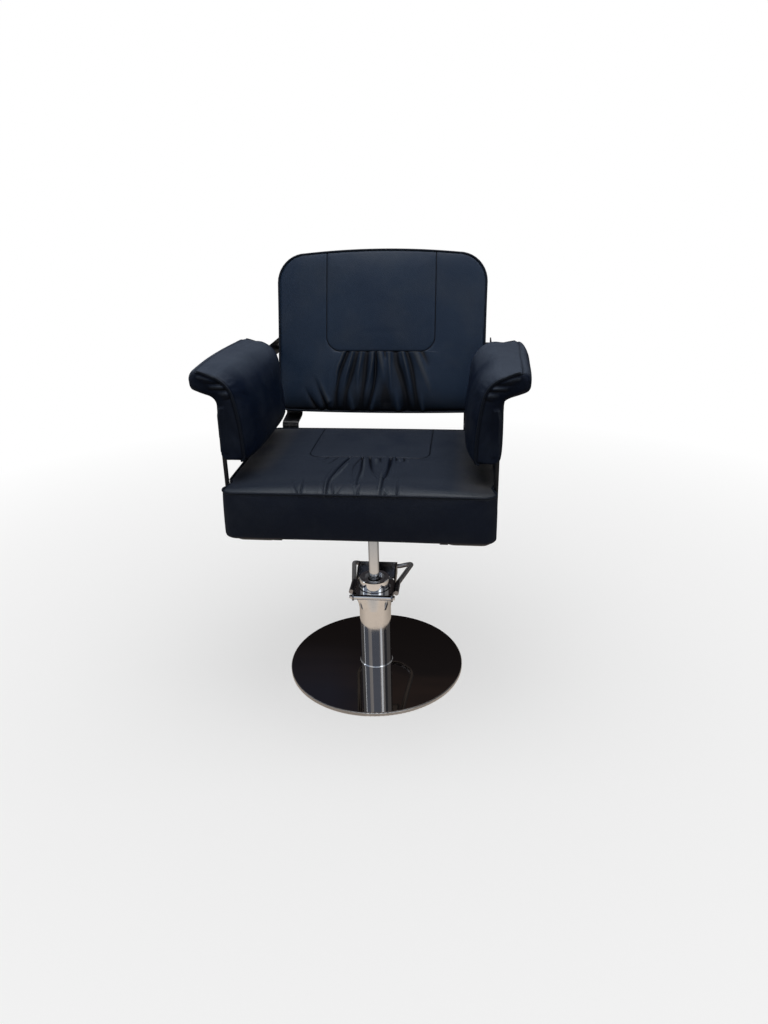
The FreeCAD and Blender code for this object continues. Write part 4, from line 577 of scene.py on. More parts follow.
def stuff(piece, held, cap):
    """Swells a closed cover. held is true for each point that a seam or board holds."""
    group = piece.vertex_groups.new(name="seams")
    group.add([int(index) for index in np.flatnonzero(held)], 1.0, "REPLACE")
    cloth = piece.modifiers.new("Cover", "CLOTH")
    cloth.settings.use_pressure = True
    cloth.settings.uniform_pressure_force = STUFFING_PRESSURE
    cloth.settings.vertex_group_mass = "seams"
    cloth.settings.effector_weights.gravity = 0
    cloth.collision_settings.use_collision = False
    cloth.point_cache.frame_start = 1
    cloth.point_cache.frame_end = STUFFING_FRAMES
    rest = points_of(piece)
    for number in range(1, STUFFING_FRAMES + 1):
        scene.frame_set(number)
    bake(piece)
    scene.frame_set(1)
    move = points_of(piece) - rest
    length = np.linalg.norm(move, axis=1, keepdims=True)
    soft = cap * np.tanh(length / cap) / np.maximum(length, 1e-9)
    set_points(piece, rest + move * soft)
    piece.vertex_groups.clear()
    return piece


print("stuffing:", STUFFING_FRAMES, "frames")

# %% [markdown]
# ## Seams, gathers and piping
#
# These come after the stuffing, because the net's faces are as wide as a seam. A seam is a narrow
# valley that follows a line. A gather is a fold of spare leatherette: a sharp valley with a full
# ridge beside it, deepest where it leaves the seam that holds it. Piping is a cord in a sleeve of the
# same leatherette, sewn into the border between two panels: a thin tube that follows the border.
#
# Each fold is a row: how far it rises (or sinks, below 0) and its half width in millimetres, its
# strength at the start and at the end, and its path in millimetres. Narrow folds that end on open
# ground run out softly. Every row also paints its tone: a painted highlight where it rises, painted
# shade where it sinks. Very broad, flat rows only paint that tone.

# %% Press valleys and sew piping
MM = 0.001
FLANK_SHARE = 0.30
RUN_OUT = 0.007
OPEN_END = 8
BROAD = 10
TONE_WEIGHT = 1.5


def smooth_step(share):
    share = np.clip(share, 0, 1)
    return share * share * (3 - 2 * share)


def bell(distance, width):
    """1 on a line, and next to nothing further away than twice the width."""
    return np.exp(-((distance / width) ** 2))


def path_length(path, closed=False):
    """The length of a path of points, such as a cord's, in metres."""
    path = np.array(path, float)
    after = np.roll(path, -1, axis=0) if closed else path[1:]
    return float(np.linalg.norm(after - (path if closed else path[:-1]), axis=1).sum())


def beside_path(spots, path):
    """For spots in a plane: the signed distance from a path, and the share of its length."""
    path = np.array(path, float)
    total = path_length(path)
    best = np.full(len(spots), 1e9)
    side, share = np.zeros((2, len(spots)))
    travelled = 0.0
    for start, step in zip(path[:-1], np.diff(path, axis=0)):
        length = np.linalg.norm(step)
        offset = spots - start
        along = np.clip(offset @ step / (length * length), 0, 1)
        distance = np.linalg.norm(offset - along[:, None] * step, axis=1)
        nearer = distance < best
        best = np.where(nearer, distance, best)
        side = np.where(nearer, np.sign(offset @ np.array([-step[1], step[0]])), side)
        share = np.where(nearer, (travelled + along * length) / total, share)
        travelled += length
    return best * side, share


def eased(path):
    """A path in millimetres, in metres and with its corners cut twice, so that it bends softly."""
    path = np.array(path, float) * MM
    for _ in range(2):
        before, after = path[:-1], path[1:]
        cut = np.stack([before * 0.75 + after * 0.25, before * 0.25 + after * 0.75], axis=1)
        path = np.concatenate([path[:1], cut.reshape(-1, 2), path[-1:]])
    return path


def lay_folds(spots, folds):
    """How far the folds move each spot of a plane out or in, and the painted highlight or painted shade they
    give it.
    """
    height, tone = np.zeros((2, len(spots)))
    for rise, width, first, last, path in folds:
        line = eased(path)
        distance, share = beside_path(spots, line)
        away = np.abs(distance) / (width * MM)
        strength = first + (last - first) * share ** 1.3
        if path[-1][1] > OPEN_END and width < BROAD:
            strength = strength * smooth_step((1 - share) * path_length(line) / RUN_OUT)
        flank = FLANK_SHARE * bell(away - 3.0, 1.7) if rise < 0 else 0
        height += rise * MM * strength * (np.exp(-(away ** 1.7)) - flank)
        tone += math.copysign(TONE_WEIGHT, rise) * strength * bell(away, 0.8)
    return height, tone


def tube(name, path, radius, slot="leatherette", body="seat", closed=False, sides=10):
    """A tube round a path of points, as a mesh."""
    path = [Vector(point) for point in path]
    count = len(path)
    points = []
    side = Vector((0.31, 0.17, 0.93))
    for index, point in enumerate(path):
        before = path[index - 1] if index or closed else point
        after = path[(index + 1) % count] if index < count - 1 or closed else point
        along = (after - before).normalized()
        side = (side - along * side.dot(along)).normalized()
        across = along.cross(side)
        for step in range(sides):
            angle = 2 * math.pi * step / sides
            points.append(point + (side * math.cos(angle) + across * math.sin(angle)) * radius)
    faces = ring_faces(count, sides, closed=not closed)
    if closed:
        last = (count - 1) * sides
        twist = min(range(sides), key=lambda step: (points[last] - points[step]).length)
        for step in range(sides):
            after = (step + 1) % sides
            faces.append((last + step, last + after, (after + twist) % sides, (step + twist) % sides))
    made = new_piece(name, points, faces, slot, body)
    made.data.shade_smooth()
    print(name, round(path_length(path, closed), 3), "m long")
    return made


def piping(name, path, radius, closed=False):
    made = tube(name, path, radius, closed=closed)
    made.data.materials[0] = PIPING_LEATHERETTE
    return made


print("seam helpers ready")

# %% [markdown]
# ## The plan of a cushion
#
# Seat and back are both boxed cushions: a show face, a band (the boxing) round the sides, and a board
# behind. Both are described lying on their board, with u across, v away from the near edge and w up.
# Their sides are slightly bowed, their corners rounded, and the show face is crowned.

# %% Describe the two cushions
SEAT = {
    "width": 0.548, "length": 0.431, "border": 0.100, "near_radius": 0.026, "far_radius": 0.026,
    "side_bow": -0.001, "near_bow": 0.002, "far_bow": 0.002, "waist": -0.001, "splay": 0.003,
    "underside_radius": 0.006, "board_inset": 0.019, "board_thickness": 0.015,
    "crown_near": 0.005, "crown_middle": 0.012, "crown_far": 0.006, "near_puff": 0.0035,
    "near_roll": 0.018, "seam_half": 0.133, "seam_line": 0.196, "seam_radius": 0.032,
}
BACK = {
    "width": 0.506, "length": 0.376, "border": 0.046, "near_radius": 0.026, "far_radius": 0.068,
    "side_bow": 0.001, "near_bow": -0.003, "far_bow": 0.009, "waist": 0.001, "splay": 0.0,
    "underside_radius": 0.004, "board_inset": 0.014, "board_thickness": 0.012,
    "crown_near": 0.004, "crown_middle": 0.011, "crown_far": 0.005, "near_puff": 0.0075,
    "near_roll": 0.042, "seam_half": 0.132, "seam_line": 0.1435, "seam_radius": 0.036,
}
CROWN_RUN_OUT = 0.012
SHOULDER_SLOPE = 0.008
SIDE_STEPS = 30
CORNER_STEPS = 10
SMALLEST_RADIUS = 0.002


def outline(sizes, inset, level):
    """A ring of points round a cushion's plan, counter-clockwise, its sides bowed."""
    half = sizes["width"] / 2 - inset
    near, far = inset, sizes["length"] - inset
    near_r, far_r = (max(sizes[end] - inset, SMALLEST_RADIUS) for end in ("near_radius", "far_radius"))
    bow = sizes["side_bow"]
    ring = []

    def side(start, end, push):
        for step in range(SIDE_STEPS):
            share = step / SIDE_STEPS
            swell = 4 * share * (1 - share)
            u, v = (a * (1 - share) + b * share + c * swell for a, b, c in zip(start, end, push))
            ring.append(Vector((u, v, level)))

    def corner(u, v, radius, first_turn):
        for step in range(CORNER_STEPS):
            angle = math.pi / 2 * (first_turn + step / CORNER_STEPS)
            ring.append(Vector((u + radius * math.cos(angle), v + radius * math.sin(angle), level)))

    side((-half + near_r, near), (half - near_r, near), (0, sizes["near_bow"]))
    corner(half - near_r, near + near_r, near_r, -1)
    side((half, near + near_r), (half, far - far_r), (-bow, 0))
    corner(half - far_r, far - far_r, far_r, 0)
    side((half - far_r, far), (-half + far_r, far), (0, sizes["far_bow"]))
    corner(-half + far_r, far - far_r, far_r, 1)
    side((-half, far - far_r), (-half, near + near_r), (bow, 0))
    corner(-half + near_r, near + near_r, near_r, 2)
    return ring


def rounded_distance(across, along, radius):
    """Signed distance from a rounded corner's outline: less than 0 inside."""
    outside = np.hypot(np.maximum(across, 0), np.maximum(along, 0))
    return outside + np.minimum(np.maximum(across, along), 0) - radius


def depth_inside(sizes, u, v):
    """How far inside a cushion's plan a spot lies."""
    middle = sizes["length"] / 2
    half = sizes["width"] / 2 - sizes["side_bow"] * (1 - ((v - middle) / middle) ** 2)
    bend = 1 - (2 * u / sizes["width"]) ** 2
    near = sizes["near_bow"] * bend
    far = sizes["length"] + sizes["far_bow"] * bend
    radius = np.where(v < middle, sizes["near_radius"], sizes["far_radius"])
    along = np.where(v < middle, near + radius - v, v - (far - radius))
    return -rounded_distance(np.abs(u) - (half - radius), along, radius)


def seam_distance(sizes, u, v):
    """Signed distance from the U-shaped seam of the middle panel: less than 0 in the panel."""
    radius = sizes["seam_radius"]
    across = np.abs(u) - (sizes["seam_half"] - radius)
    return rounded_distance(across, sizes["seam_line"] + radius - v, radius)


def crown(sizes, u, v):
    """How far the show face stands over its border."""
    share = (v + CROWN_RUN_OUT) / (sizes["length"] + 2 * CROWN_RUN_OUT)
    rise = (
        sizes["crown_near"] * (1 - share) * (1 - 2 * share)
        + 4 * sizes["crown_middle"] * share * (1 - share)
        + sizes["crown_far"] * share * (2 * share - 1)
    )
    rolled = v / sizes["near_roll"]
    puff = sizes["near_puff"] * rolled * math.exp(1 - rolled)
    aside = 2 * u / sizes["width"]
    return rise * (1 - aside ** 2) + puff * (1 - aside ** 8)


print("seat plan:", len(outline(SEAT, 0, 0)), "points a ring")

# %% [markdown]
# The thin dark line of the U seam goes into the leatherette itself, worked out from the same sizes:
# a mesh would need far finer faces to hold a thread. The seat also has pale patches on both sides
# under the arms: dust, and a painted pool of light over the arms' shade.

# %% Sew the seam's line into the leatherette
def sewn_leatherette(name, sizes, matrix, dust_and_light=0.0, **looks):
    """Leatherette with the U seam's line, for a cushion that lies in the chair as matrix says."""
    border = sizes["border"]

    def plan_of(mix):
        back_to_plan = matrix.inverted()
        inputs = {"Location": back_to_plan.translation, "Rotation": back_to_plan.to_euler()}
        return mix.parts(mix.add("Mapping", {"Vector": mix.spot, **inputs}).outputs[0])

    # Pale patches under the arms: dust, and a painted pool of light where the arms shade the seat.
    def dust(mix):
        plan = plan_of(mix)
        under_arms = mix.between(mix.math("ABSOLUTE", plan["X"]), 0.0, dust_and_light, 0.185, 0.255)
        slant = mix.plus(plan["Y"], mix.times(plan["X"], 0.25))
        patchy = mix.between(mix.cloudy(12.0, 4.0, 0.6), 0.4, 1.0, 0.35, 0.6)
        share = mix.times(mix.times(under_arms, mix.between(slant, 0.0, 1.0, 0.03, 0.08)), patchy)
        return mix.times(share, mix.between(plan["Z"], 0.0, 1.0, border - 0.003, border + 0.001))

    def seam(mix):
        plan = plan_of(mix)
        radius = sizes["seam_radius"]
        across = mix.math("SUBTRACT", mix.math("ABSOLUTE", plan["X"]), sizes["seam_half"] - radius)
        along = mix.math("SUBTRACT", sizes["seam_line"] + radius, plan["Y"])
        corner = mix.add("CombineXYZ", {0: mix.larger(across, 0.0), 1: mix.larger(along, 0.0)}).outputs[0]
        outside = mix.add("VectorMath", {0: corner}, operation="LENGTH").outputs["Value"]
        inside = mix.math("MINIMUM", mix.larger(across, along), 0.0)
        away = mix.math("ABSOLUTE", mix.math("SUBTRACT", mix.plus(outside, inside), radius))
        line = mix.between(away, 0.0, 1.0, 0.0004, 0.0016)
        return mix.larger(line, mix.between(plan["Z"], 1.0, 0.0, border - 0.003, border - 0.001))

    return leatherette(name, seam=seam, dust=dust if dust_and_light else None, **looks)


print("seam half", SEAT["seam_half"], "m on the seat,", BACK["seam_half"], "m on the back")

# %% [markdown]
# ## Cutting and stuffing a cushion
#
# The closed block below has a pocket in its underside for the board, a rounded lower edge where the
# leatherette turns under, sides drawn in by the pull of the cover, and the crowned top. It is covered
# with an even net, then stuffed. What stays down are the points of the net near the seams, near the
# border where the piping is sewn, on the board and on the stapled underside.

# %% Make a stuffed cushion
NET = 0.0045
NEAR = 0.6 * NET
SOFT_GAP = 0.0005
TURN_STEPS = 5
BOXING_STEPS = 8
TOP_INSETS = [0.0015, 0.004, 0.008, 0.013, 0.020, 0.030, 0.045, 0.065, 0.090, 0.120, 0.150]


def block_rings(sizes):
    """The rings of a cushion's closed block, from the pocket's floor to the middle of its top."""
    border, turn = sizes["border"], sizes["underside_radius"]
    pocket = sizes["board_inset"] - SOFT_GAP

    def drawn_in(level):
        share = level / border
        return sizes["waist"] * 4 * share * (1 - share) - sizes["splay"] * (1 - share)

    rings = [outline(sizes, pocket, sizes["board_thickness"] + SOFT_GAP), outline(sizes, pocket, 0)]
    for step in range(TURN_STEPS + 1):
        angle = math.pi / 2 * step / TURN_STEPS
        level = turn * (1 - math.cos(angle))
        rings.append(outline(sizes, turn * (1 - math.sin(angle)) + drawn_in(level), level))
    for step in range(1, BOXING_STEPS + 1):
        level = turn + (border - turn) * step / BOXING_STEPS
        rings.append(outline(sizes, drawn_in(level), level))
    deepest = min(sizes["width"], sizes["length"]) / 2 - 0.004
    for inset in [inset for inset in TOP_INSETS if inset < deepest] + [deepest]:
        ring = outline(sizes, inset, border)
        for point in ring:
            point.z += crown(sizes, point.x, point.y) * (1 - math.exp(-inset / SHOULDER_SLOPE))
        rings.append(ring)
    return rings


def lift_off_board(sizes, table):
    """Moves points that lie in the board's upper side out of it."""
    u, v, w = table.T
    inside = depth_inside(sizes, u, v) - sizes["board_inset"]
    top = sizes["board_thickness"] + SOFT_GAP - w
    caught = (inside > -SOFT_GAP) & (top > 0) & (top < inside + 0.004)
    table[caught, 2] = sizes["board_thickness"] + SOFT_GAP
    return table


def cushion(name, sizes, cap_top, cap_side):
    """A stuffed cushion lying on its board; the caps are how far its top and sides may swell."""
    piece = resurface(closed_block(name, block_rings(sizes)), NET)
    table = lift_off_board(sizes, points_of(piece))
    set_points(piece, table)
    u, v, w = table.T
    border = sizes["border"]
    inside = depth_inside(sizes, u, v)
    show = (w > border - NEAR) & (inside > 0)
    sewn = show & (np.abs(seam_distance(sizes, u, v)) < 0.55 * NET)
    piped = (np.abs(w - border) < NEAR) & (inside < 0.8 * NET)
    stapled = w < 0.5 * sizes["underside_radius"] + 0.001
    board = (inside > sizes["board_inset"] - NEAR) & (w < sizes["board_thickness"] + NEAR)
    cap = np.where(show, cap_top, cap_side)[:, None]
    return divide(stuff(piece, sewn | piped | stapled | board, cap))


def show_face(sizes, table):
    """1 on the show face, 0 on the boxing and the underside."""
    return smooth_step((table[:, 2] - sizes["border"] + 0.006) / 0.004)


def sink_seams(sizes, table):
    """The valleys of the U seam and of the border, where thread and piping pull the cover down."""
    u, v, w = table.T
    valleys = bell(seam_distance(sizes, u, v), 0.0024) + bell(depth_inside(sizes, u, v) - 0.0035, 0.0025)
    return -0.0012 * valleys * show_face(sizes, table)


def fold_cover(piece, sizes, folds, gathered):
    """Lays the folds below the U seam, on a finer net there, and sinks the seams."""
    seam_line, border = sizes["seam_line"], sizes["border"]
    u, v, w = points_of(piece).T
    refine(piece, (np.abs(u) < gathered) & (v < seam_line + 0.004) & (w > border - 0.004))
    table = points_of(piece)
    near = np.flatnonzero((table[:, 1] < seam_line + 0.02) & (table[:, 2] > border - 0.008))
    height, tone = np.zeros((2, len(table)))
    height[near], tone[near] = lay_folds(table[near, :2], folds)
    shown = show_face(sizes, table) * smooth_step((seam_line + 0.001 - table[:, 1]) / 0.003)
    press(piece, height * shown + sink_seams(sizes, table))
    tell_fold_shading(piece, tone * shown)


def into_chair(piece, matrix):
    """Moves a piece's points from its own plan to their place in the chair."""
    piece.data.transform(matrix)
    piece.data.update()


print("net of", NET * 1000, "mm")

# %% [markdown]
# ## The seat cushion
#
# The seat is about 55 cm wide and 43 cm deep. A U-shaped seam, open to the rear, divides the top.
# In front of it the leatherette was gathered into the seam, so loose folds run from there to the
# front edge. The arm rods press a dent into each side.

# %% Stuff the seat and lay its folds
SEAT_FOLDS = [
    (-2.8, 1.7, 0.0, 1.0, [(-139, 58), (-125, 20), (-116, 2)]),
    (-2.8, 1.7, 0.0, 1.0, [(-117, 68), (-112, 37), (-110, 4)]),
    (1.4, 2.4, 0.2, 0.8, [(-117, 30), (-114, 4)]),
    (-3.0, 3.0, 0.0, 0.8, [(-66, 100), (-71, 61), (-67, 20), (-66, 8)]),
    (1.8, 1.8, 0.1, 1.0, [(-66, 62), (-65, 33), (-64, 13), (-63, 2)]),
    (-5.0, 1.9, 1.0, 0.8, [(-38, 188), (-52, 122), (-61, 70), (-61, 33), (-60, 3)]),
    (1.6, 3.2, 0.7, 0.2, [(-36, 142), (-45, 92), (-55, 50), (-56, 28)]),
    (-1.8, 2.2, 0.8, 0.0, [(-64, 190), (-72, 162), (-80, 138)]),
    (-2.8, 1.8, 0.0, 1.0, [(-53, 46), (-48, 13), (-44, 2)]),
    (1.2, 2.0, 0.2, 0.8, [(-44, 24), (-42, 2)]),
    (-2.0, 1.8, 0.1, 0.8, [(-30, 30), (-37, 7), (-38, 3)]),
    (-3.4, 3.0, 0.6, 0.1, [(-11, 190), (-23, 137), (-22, 101), (-14, 46), (-9, 22)]),
    (-4.2, 1.6, 1.0, 0.6, [(-11, 190), (-4, 118), (-4, 81), (-4, 51), (-2, 27)]),
    (-3.0, 1.7, 0.2, 1.0, [(5, 40), (2, 11), (3, 1)]),
    (1.6, 2.8, 0.8, 0.2, [(-3, 164), (1, 123), (3, 90), (2, 59)]),
    (1.8, 1.7, 0.4, 1.0, [(-7, 26), (-3, 9), (1, 1)]),
    (-5.0, 2.8, 1.0, 0.0, [(5, 190), (13, 138), (21, 105), (31, 76), (42, 44)]),
    (2.0, 4.5, 1.0, 0.0, [(21, 172), (24, 146), (27, 128)]),
    (-2.8, 2.0, 1.0, 0.1, [(27, 192), (33, 152)]),
    (-5.6, 2.8, 1.0, 0.8, [(51, 190), (53, 134), (52, 94), (48, 60)]),
    (-3.8, 1.8, 1.0, 0.6, [(48, 66), (48, 27), (47, 3)]),
    (1.6, 2.2, 0.2, 0.9, [(40, 100), (44, 49), (44, 11)]),
    (-2.2, 1.6, 0.2, 1.0, [(52, 20), (57, 6), (58, 2)]),
    (1.6, 1.6, 0.8, 0.8, [(52, 21), (61, 8)]),
    (-3.2, 1.9, 0.0, 1.0, [(82, 82), (78, 52), (79, 22), (80, 2)]),
    (1.3, 2.0, 0.1, 0.8, [(75, 30), (76, 4)]),
    (-2.6, 1.8, 1.0, 0.1, [(63, 192), (65, 160)]),
    (1.2, 3.0, 0.9, 0.0, [(71, 176), (74, 156)]),
    (-2.4, 1.8, 1.0, 0.1, [(80, 192), (82, 160)]),
    (1.2, 3.0, 0.8, 0.0, [(89, 174), (93, 156)]),
    (-1.8, 2.0, 0.9, 0.0, [(-86, 192), (-95, 164)]),
    # The two broad rows are painted highlights: a faint one over the front, a stronger one along the front
    # roll.
    (0.2, 70.0, 0.31, 0.31, [(-300, 60), (300, 60)]),
    (0.4, 12.0, 0.55, 0.55, [(-300, 10), (300, 10)]),
]
SEAT_FRAME = Matrix.Translation((0, -0.248, 0.460))
ROD_INNER = 0.268
ROD_BULGE = 0.0085
ROD_FRONT_Y = -0.196
ROD_REAR_Y = 0.138


def press_in_rods(table, half_thick=0.0):
    """Dents where the arm rods press against the seat's sides."""
    x, y, z = table.T
    near_rod = np.minimum(np.abs(y - ROD_FRONT_Y), np.abs(y - ROD_REAR_Y))
    limit = ROD_INNER - SOFT_GAP - half_thick + ROD_BULGE * smooth_step((near_rod - 0.005) / 0.022)
    table[:, 0] = np.sign(x) * np.minimum(np.abs(x), limit)
    return table


seat = cushion("SeatCushion", SEAT, cap_top=0.0045, cap_side=0.003)
fold_cover(seat, SEAT, SEAT_FOLDS, gathered=0.150)
into_chair(seat, SEAT_FRAME)
set_points(seat, press_in_rods(points_of(seat)))
# The seat's tint makes a darker copy, painted shade, and its tops get a painted sheen.
seat.data.materials[0] = sewn_leatherette(
    "SeatLeatherette", SEAT, SEAT_FRAME, dust_and_light=0.7, tint=(0.60, 0.65, 0.80), rubbed=0.38
)
seat_in_place(seat, "seat_cushion")

# %% [markdown]
# ## The back cushion
#
# The back leans about 16 degrees. Its U seam opens to the top, and below it the gathers stand close
# together like the pleats of a curtain: full ridges with dark pockets between them, which start at
# the seam and fan out towards the bottom edge. They are laid in the same way as the seat's folds,
# only wider and deeper, pockets first and ridges after them.

# %% Stuff the back and gather it
BACK_LEAN = math.radians(16.3)
BACK_FOOT = Vector((0, 0.200, 0.602))
BACK_FOLDS = [
    (-5.0, 6.5, 1.0, 0.4, [(-79, 143), (-90, 117), (-100, 91), (-107, 48), (-110, 6)]),
    (-4.5, 6.0, 1.0, 0.4, [(-56, 143), (-63, 112), (-72, 80), (-81, 52), (-88, 6)]),
    (-4.5, 6.5, 1.0, 0.3, [(-31, 143), (-35, 114), (-37, 82), (-42, 40), (-48, 6)]),
    (-5.5, 4.4, 1.0, 0.5, [(-10, 143), (-10, 103), (-13, 66), (-20, 36), (-28, 6)]),
    (-3.0, 3.5, 1.0, 0.0, [(11, 143), (14, 122)]),
    (-5.5, 8.0, 0.9, 0.8, [(39, 143), (40, 118), (50, 92), (58, 66), (65, 32), (68, 6)]),
    (-4.5, 6.0, 1.0, 0.5, [(65, 143), (75, 114), (81, 85), (86, 48), (93, 6)]),
    (-3.0, 7.0, 0.8, 0.0, [(102, 143), (114, 121), (119, 102)]),
    (-3.0, 12.0, 0.0, 0.9, [(11, 90), (13, 60), (15, 22)]),
    (5.5, 3.6, 1.0, 0.0, [(-88, 143), (-96, 121), (-105, 99), (-109, 65), (-110, 42)]),
    (5.5, 2.8, 1.0, 0.0, [(-66, 143), (-72, 117), (-82, 84), (-92, 50)]),
    (5.0, 3.4, 1.0, 0.0, [(-44, 143), (-48, 117), (-54, 81), (-55, 34)]),
    (5.5, 4.0, 1.0, 0.0, [(-17, 143), (-18, 121), (-23, 84), (-33, 47), (-37, 26)]),
    (6.0, 7.5, 1.0, 0.0, [(-2, 143), (5, 116), (9, 88), (10, 60)]),
    (5.0, 4.0, 1.0, 0.0, [(22, 143), (24, 116), (26, 77), (29, 36)]),
    (5.5, 3.6, 1.0, 0.0, [(54, 143), (62, 114), (71, 77), (79, 38)]),
    (5.5, 8.0, 1.0, 0.0, [(86, 143), (98, 114), (110, 85), (121, 56), (128, 30)]),
    (3.0, 7.0, 0.0, 0.9, [(-78, 62), (-74, 40), (-67, 6)]),
    (3.0, 6.5, 0.0, 0.9, [(-6, 52), (-13, 33), (-21, 6)]),
    (3.5, 7.5, 0.0, 0.9, [(35, 64), (40, 42), (46, 6)]),
    (3.0, 5.5, 0.0, 0.9, [(102, 50), (105, 6)]),
    (4.0, 6.0, 0.0, 1.0, [(-156, 92), (-143, 54), (-124, 16)]),
    (-5.0, 5.0, 0.0, 1.0, [(-164, 86), (-149, 50), (-137, 20), (-134, 4)]),
    (-4.0, 4.5, 0.0, 1.0, [(-190, 64), (-172, 30), (-157, 3)]),
    # The broad dark rows are painted shade: along the bottom edge and over the lower middle, darker towards
    # the bottom.
    (-0.6, 11.0, 0.45, 0.45, [(-238, 2), (238, 2)]),
    (-0.2, 34.0, 0.28, 0.28, [(-300, 6), (300, 6)]),
    (-0.2, 46.0, 0.30, 0.30, [(-62, 92), (62, 92)]),
    (-0.2, 40.0, 0.25, 0.25, [(-80, 30), (80, 30)]),
]


behind = Vector((0, math.cos(BACK_LEAN), -math.sin(BACK_LEAN)))
BACK_FRAME = (
    Matrix.Translation(BACK_FOOT + behind * BACK["border"]) @ Matrix.Rotation(math.pi / 2 - BACK_LEAN, 4, "X")
)
back = cushion("BackCushion", BACK, cap_top=0.0045, cap_side=0.0025)
fold_cover(back, BACK, BACK_FOLDS, gathered=0.200)
into_chair(back, BACK_FRAME)
# The back's tint makes a paler, bluer copy of the leatherette: painted light on the leaning back.
back.data.materials[0] = sewn_leatherette("BackLeatherette", BACK, BACK_FRAME, tint=(0.95, 1.28, 1.5))
seat_in_place(back, "back_cushion")

# %% [markdown]
# ## Piping
#
# A cord in a leatherette sleeve runs round each border. It is sewn between the show face and the
# boxing, so it stands on the edge between them. Its length is the length of the border.

# %% Sew piping round the seat and the back
PIPING_RADIUS = 0.0026
PIPING_OUT = 0.0008
PIPING_DOWN = 0.0004


def border_of(sizes, matrix):
    ring = outline(sizes, PIPING_OUT, sizes["border"] - PIPING_DOWN)
    return np.array([matrix @ point for point in ring])


piping("SeatPiping", press_in_rods(border_of(SEAT, SEAT_FRAME), PIPING_RADIUS), PIPING_RADIUS, closed=True)
piping("BackPiping", border_of(BACK, BACK_FRAME), PIPING_RADIUS, closed=True)

# %% [markdown]
# ## The arm pads
#
# Each arm is a wing: the top rolls over and down the inner side, the outer edge ends in a rounded
# tip, and below it a straight panel hides the rods' upper ends. One section describes it, in shares
# of its width and height. Each row is a corner and, where an arc leads to it, a spot on the arc.

# %% Draw the arm's section
ARM_INNER = 0.228
ARM_BOTTOM = 0.611
ARM_WIDTH = 0.104
ARM_HEIGHT = 0.184
ARM_FRONT = -0.203
ARM_REAR = 0.154
ARM_SECTION_SHARES = [
    ((0.820, 1.000), None), ((0.505, 0.935), (0.668, 0.975)), ((0.125, 0.700), (0.255, 0.848)),
    ((0.010, 0.070), (0.040, 0.390)), ((0.115, 0.000), (0.030, 0.018)), ((0.330, 0.000), None),
    ((0.485, 0.085), (0.453, 0.018)), ((0.485, 0.580), None), ((0.630, 0.722), (0.523, 0.680)),
    ((0.900, 0.776), None), ((0.963, 0.858), (0.948, 0.800)), ((0.820, 1.000), (0.932, 0.957)),
]
ARM_PIPED_CORNERS = 4
ARC_STEPS = 10


def arc_points(start, via, end):
    """Points from start up to end on the arc through via, or on a straight line."""
    shares = np.arange(ARC_STEPS) / ARC_STEPS
    if via is None:
        return [tuple(start + (end - start) * share) for share in shares]
    matrix = 2 * np.array([via - start, end - start])
    middle = np.linalg.solve(matrix, [via @ via - start @ start, end @ end - start @ start])
    turns = [math.atan2(*(spot - middle)[::-1]) for spot in (start, via, end)]
    sweep = (turns[2] - turns[0]) % (2 * math.pi)
    if (turns[1] - turns[0]) % (2 * math.pi) > sweep:
        sweep -= 2 * math.pi
    radius = np.linalg.norm(start - middle)
    angles = turns[0] + sweep * shares
    return [(middle[0] + radius * math.cos(a), middle[1] + radius * math.sin(a)) for a in angles]


def arm_section():
    """The section's points as x and z, and which of them lie on the piped edge."""
    scale = np.array([ARM_WIDTH, ARM_HEIGHT])
    low = np.array([ARM_INNER, ARM_BOTTOM])
    spots, piped = [], []
    for index in range(1, len(ARM_SECTION_SHARES)):
        start = low + scale * ARM_SECTION_SHARES[index - 1][0]
        end, via = ARM_SECTION_SHARES[index]
        spots += arc_points(start, None if via is None else low + scale * via, low + scale * end)
        piped += [index <= ARM_PIPED_CORNERS] * ARC_STEPS
    return np.array(spots), np.array(piped)


def outward(spots):
    """The direction out of the section at each of its points."""
    step = np.roll(spots, -1, axis=0) - np.roll(spots, 1, axis=0)
    normals = np.stack([-step[:, 1], step[:, 0]], axis=1)
    normals /= np.linalg.norm(normals, axis=1, keepdims=True)
    middle = np.array([ARM_INNER + 0.4 * ARM_WIDTH, ARM_BOTTOM + 0.5 * ARM_HEIGHT])
    return normals if np.sum((spots - middle) * normals) > 0 else -normals


ARM_SPOTS, ARM_PIPED = arm_section()
print("arm section:", len(ARM_SPOTS), "points")

# %% [markdown]
# The section is carried along the arm. Its ends are rounded, softly along the bare edges and tightly
# where the piping sits, and the inner side bulges in the middle of the arm's length. A seam runs
# along the top, near the tip, and the front end has wrinkles where the cover is pulled round the
# wing's hollow. The wrinkles are rows like the seat's folds, in the plane of the arm's end.

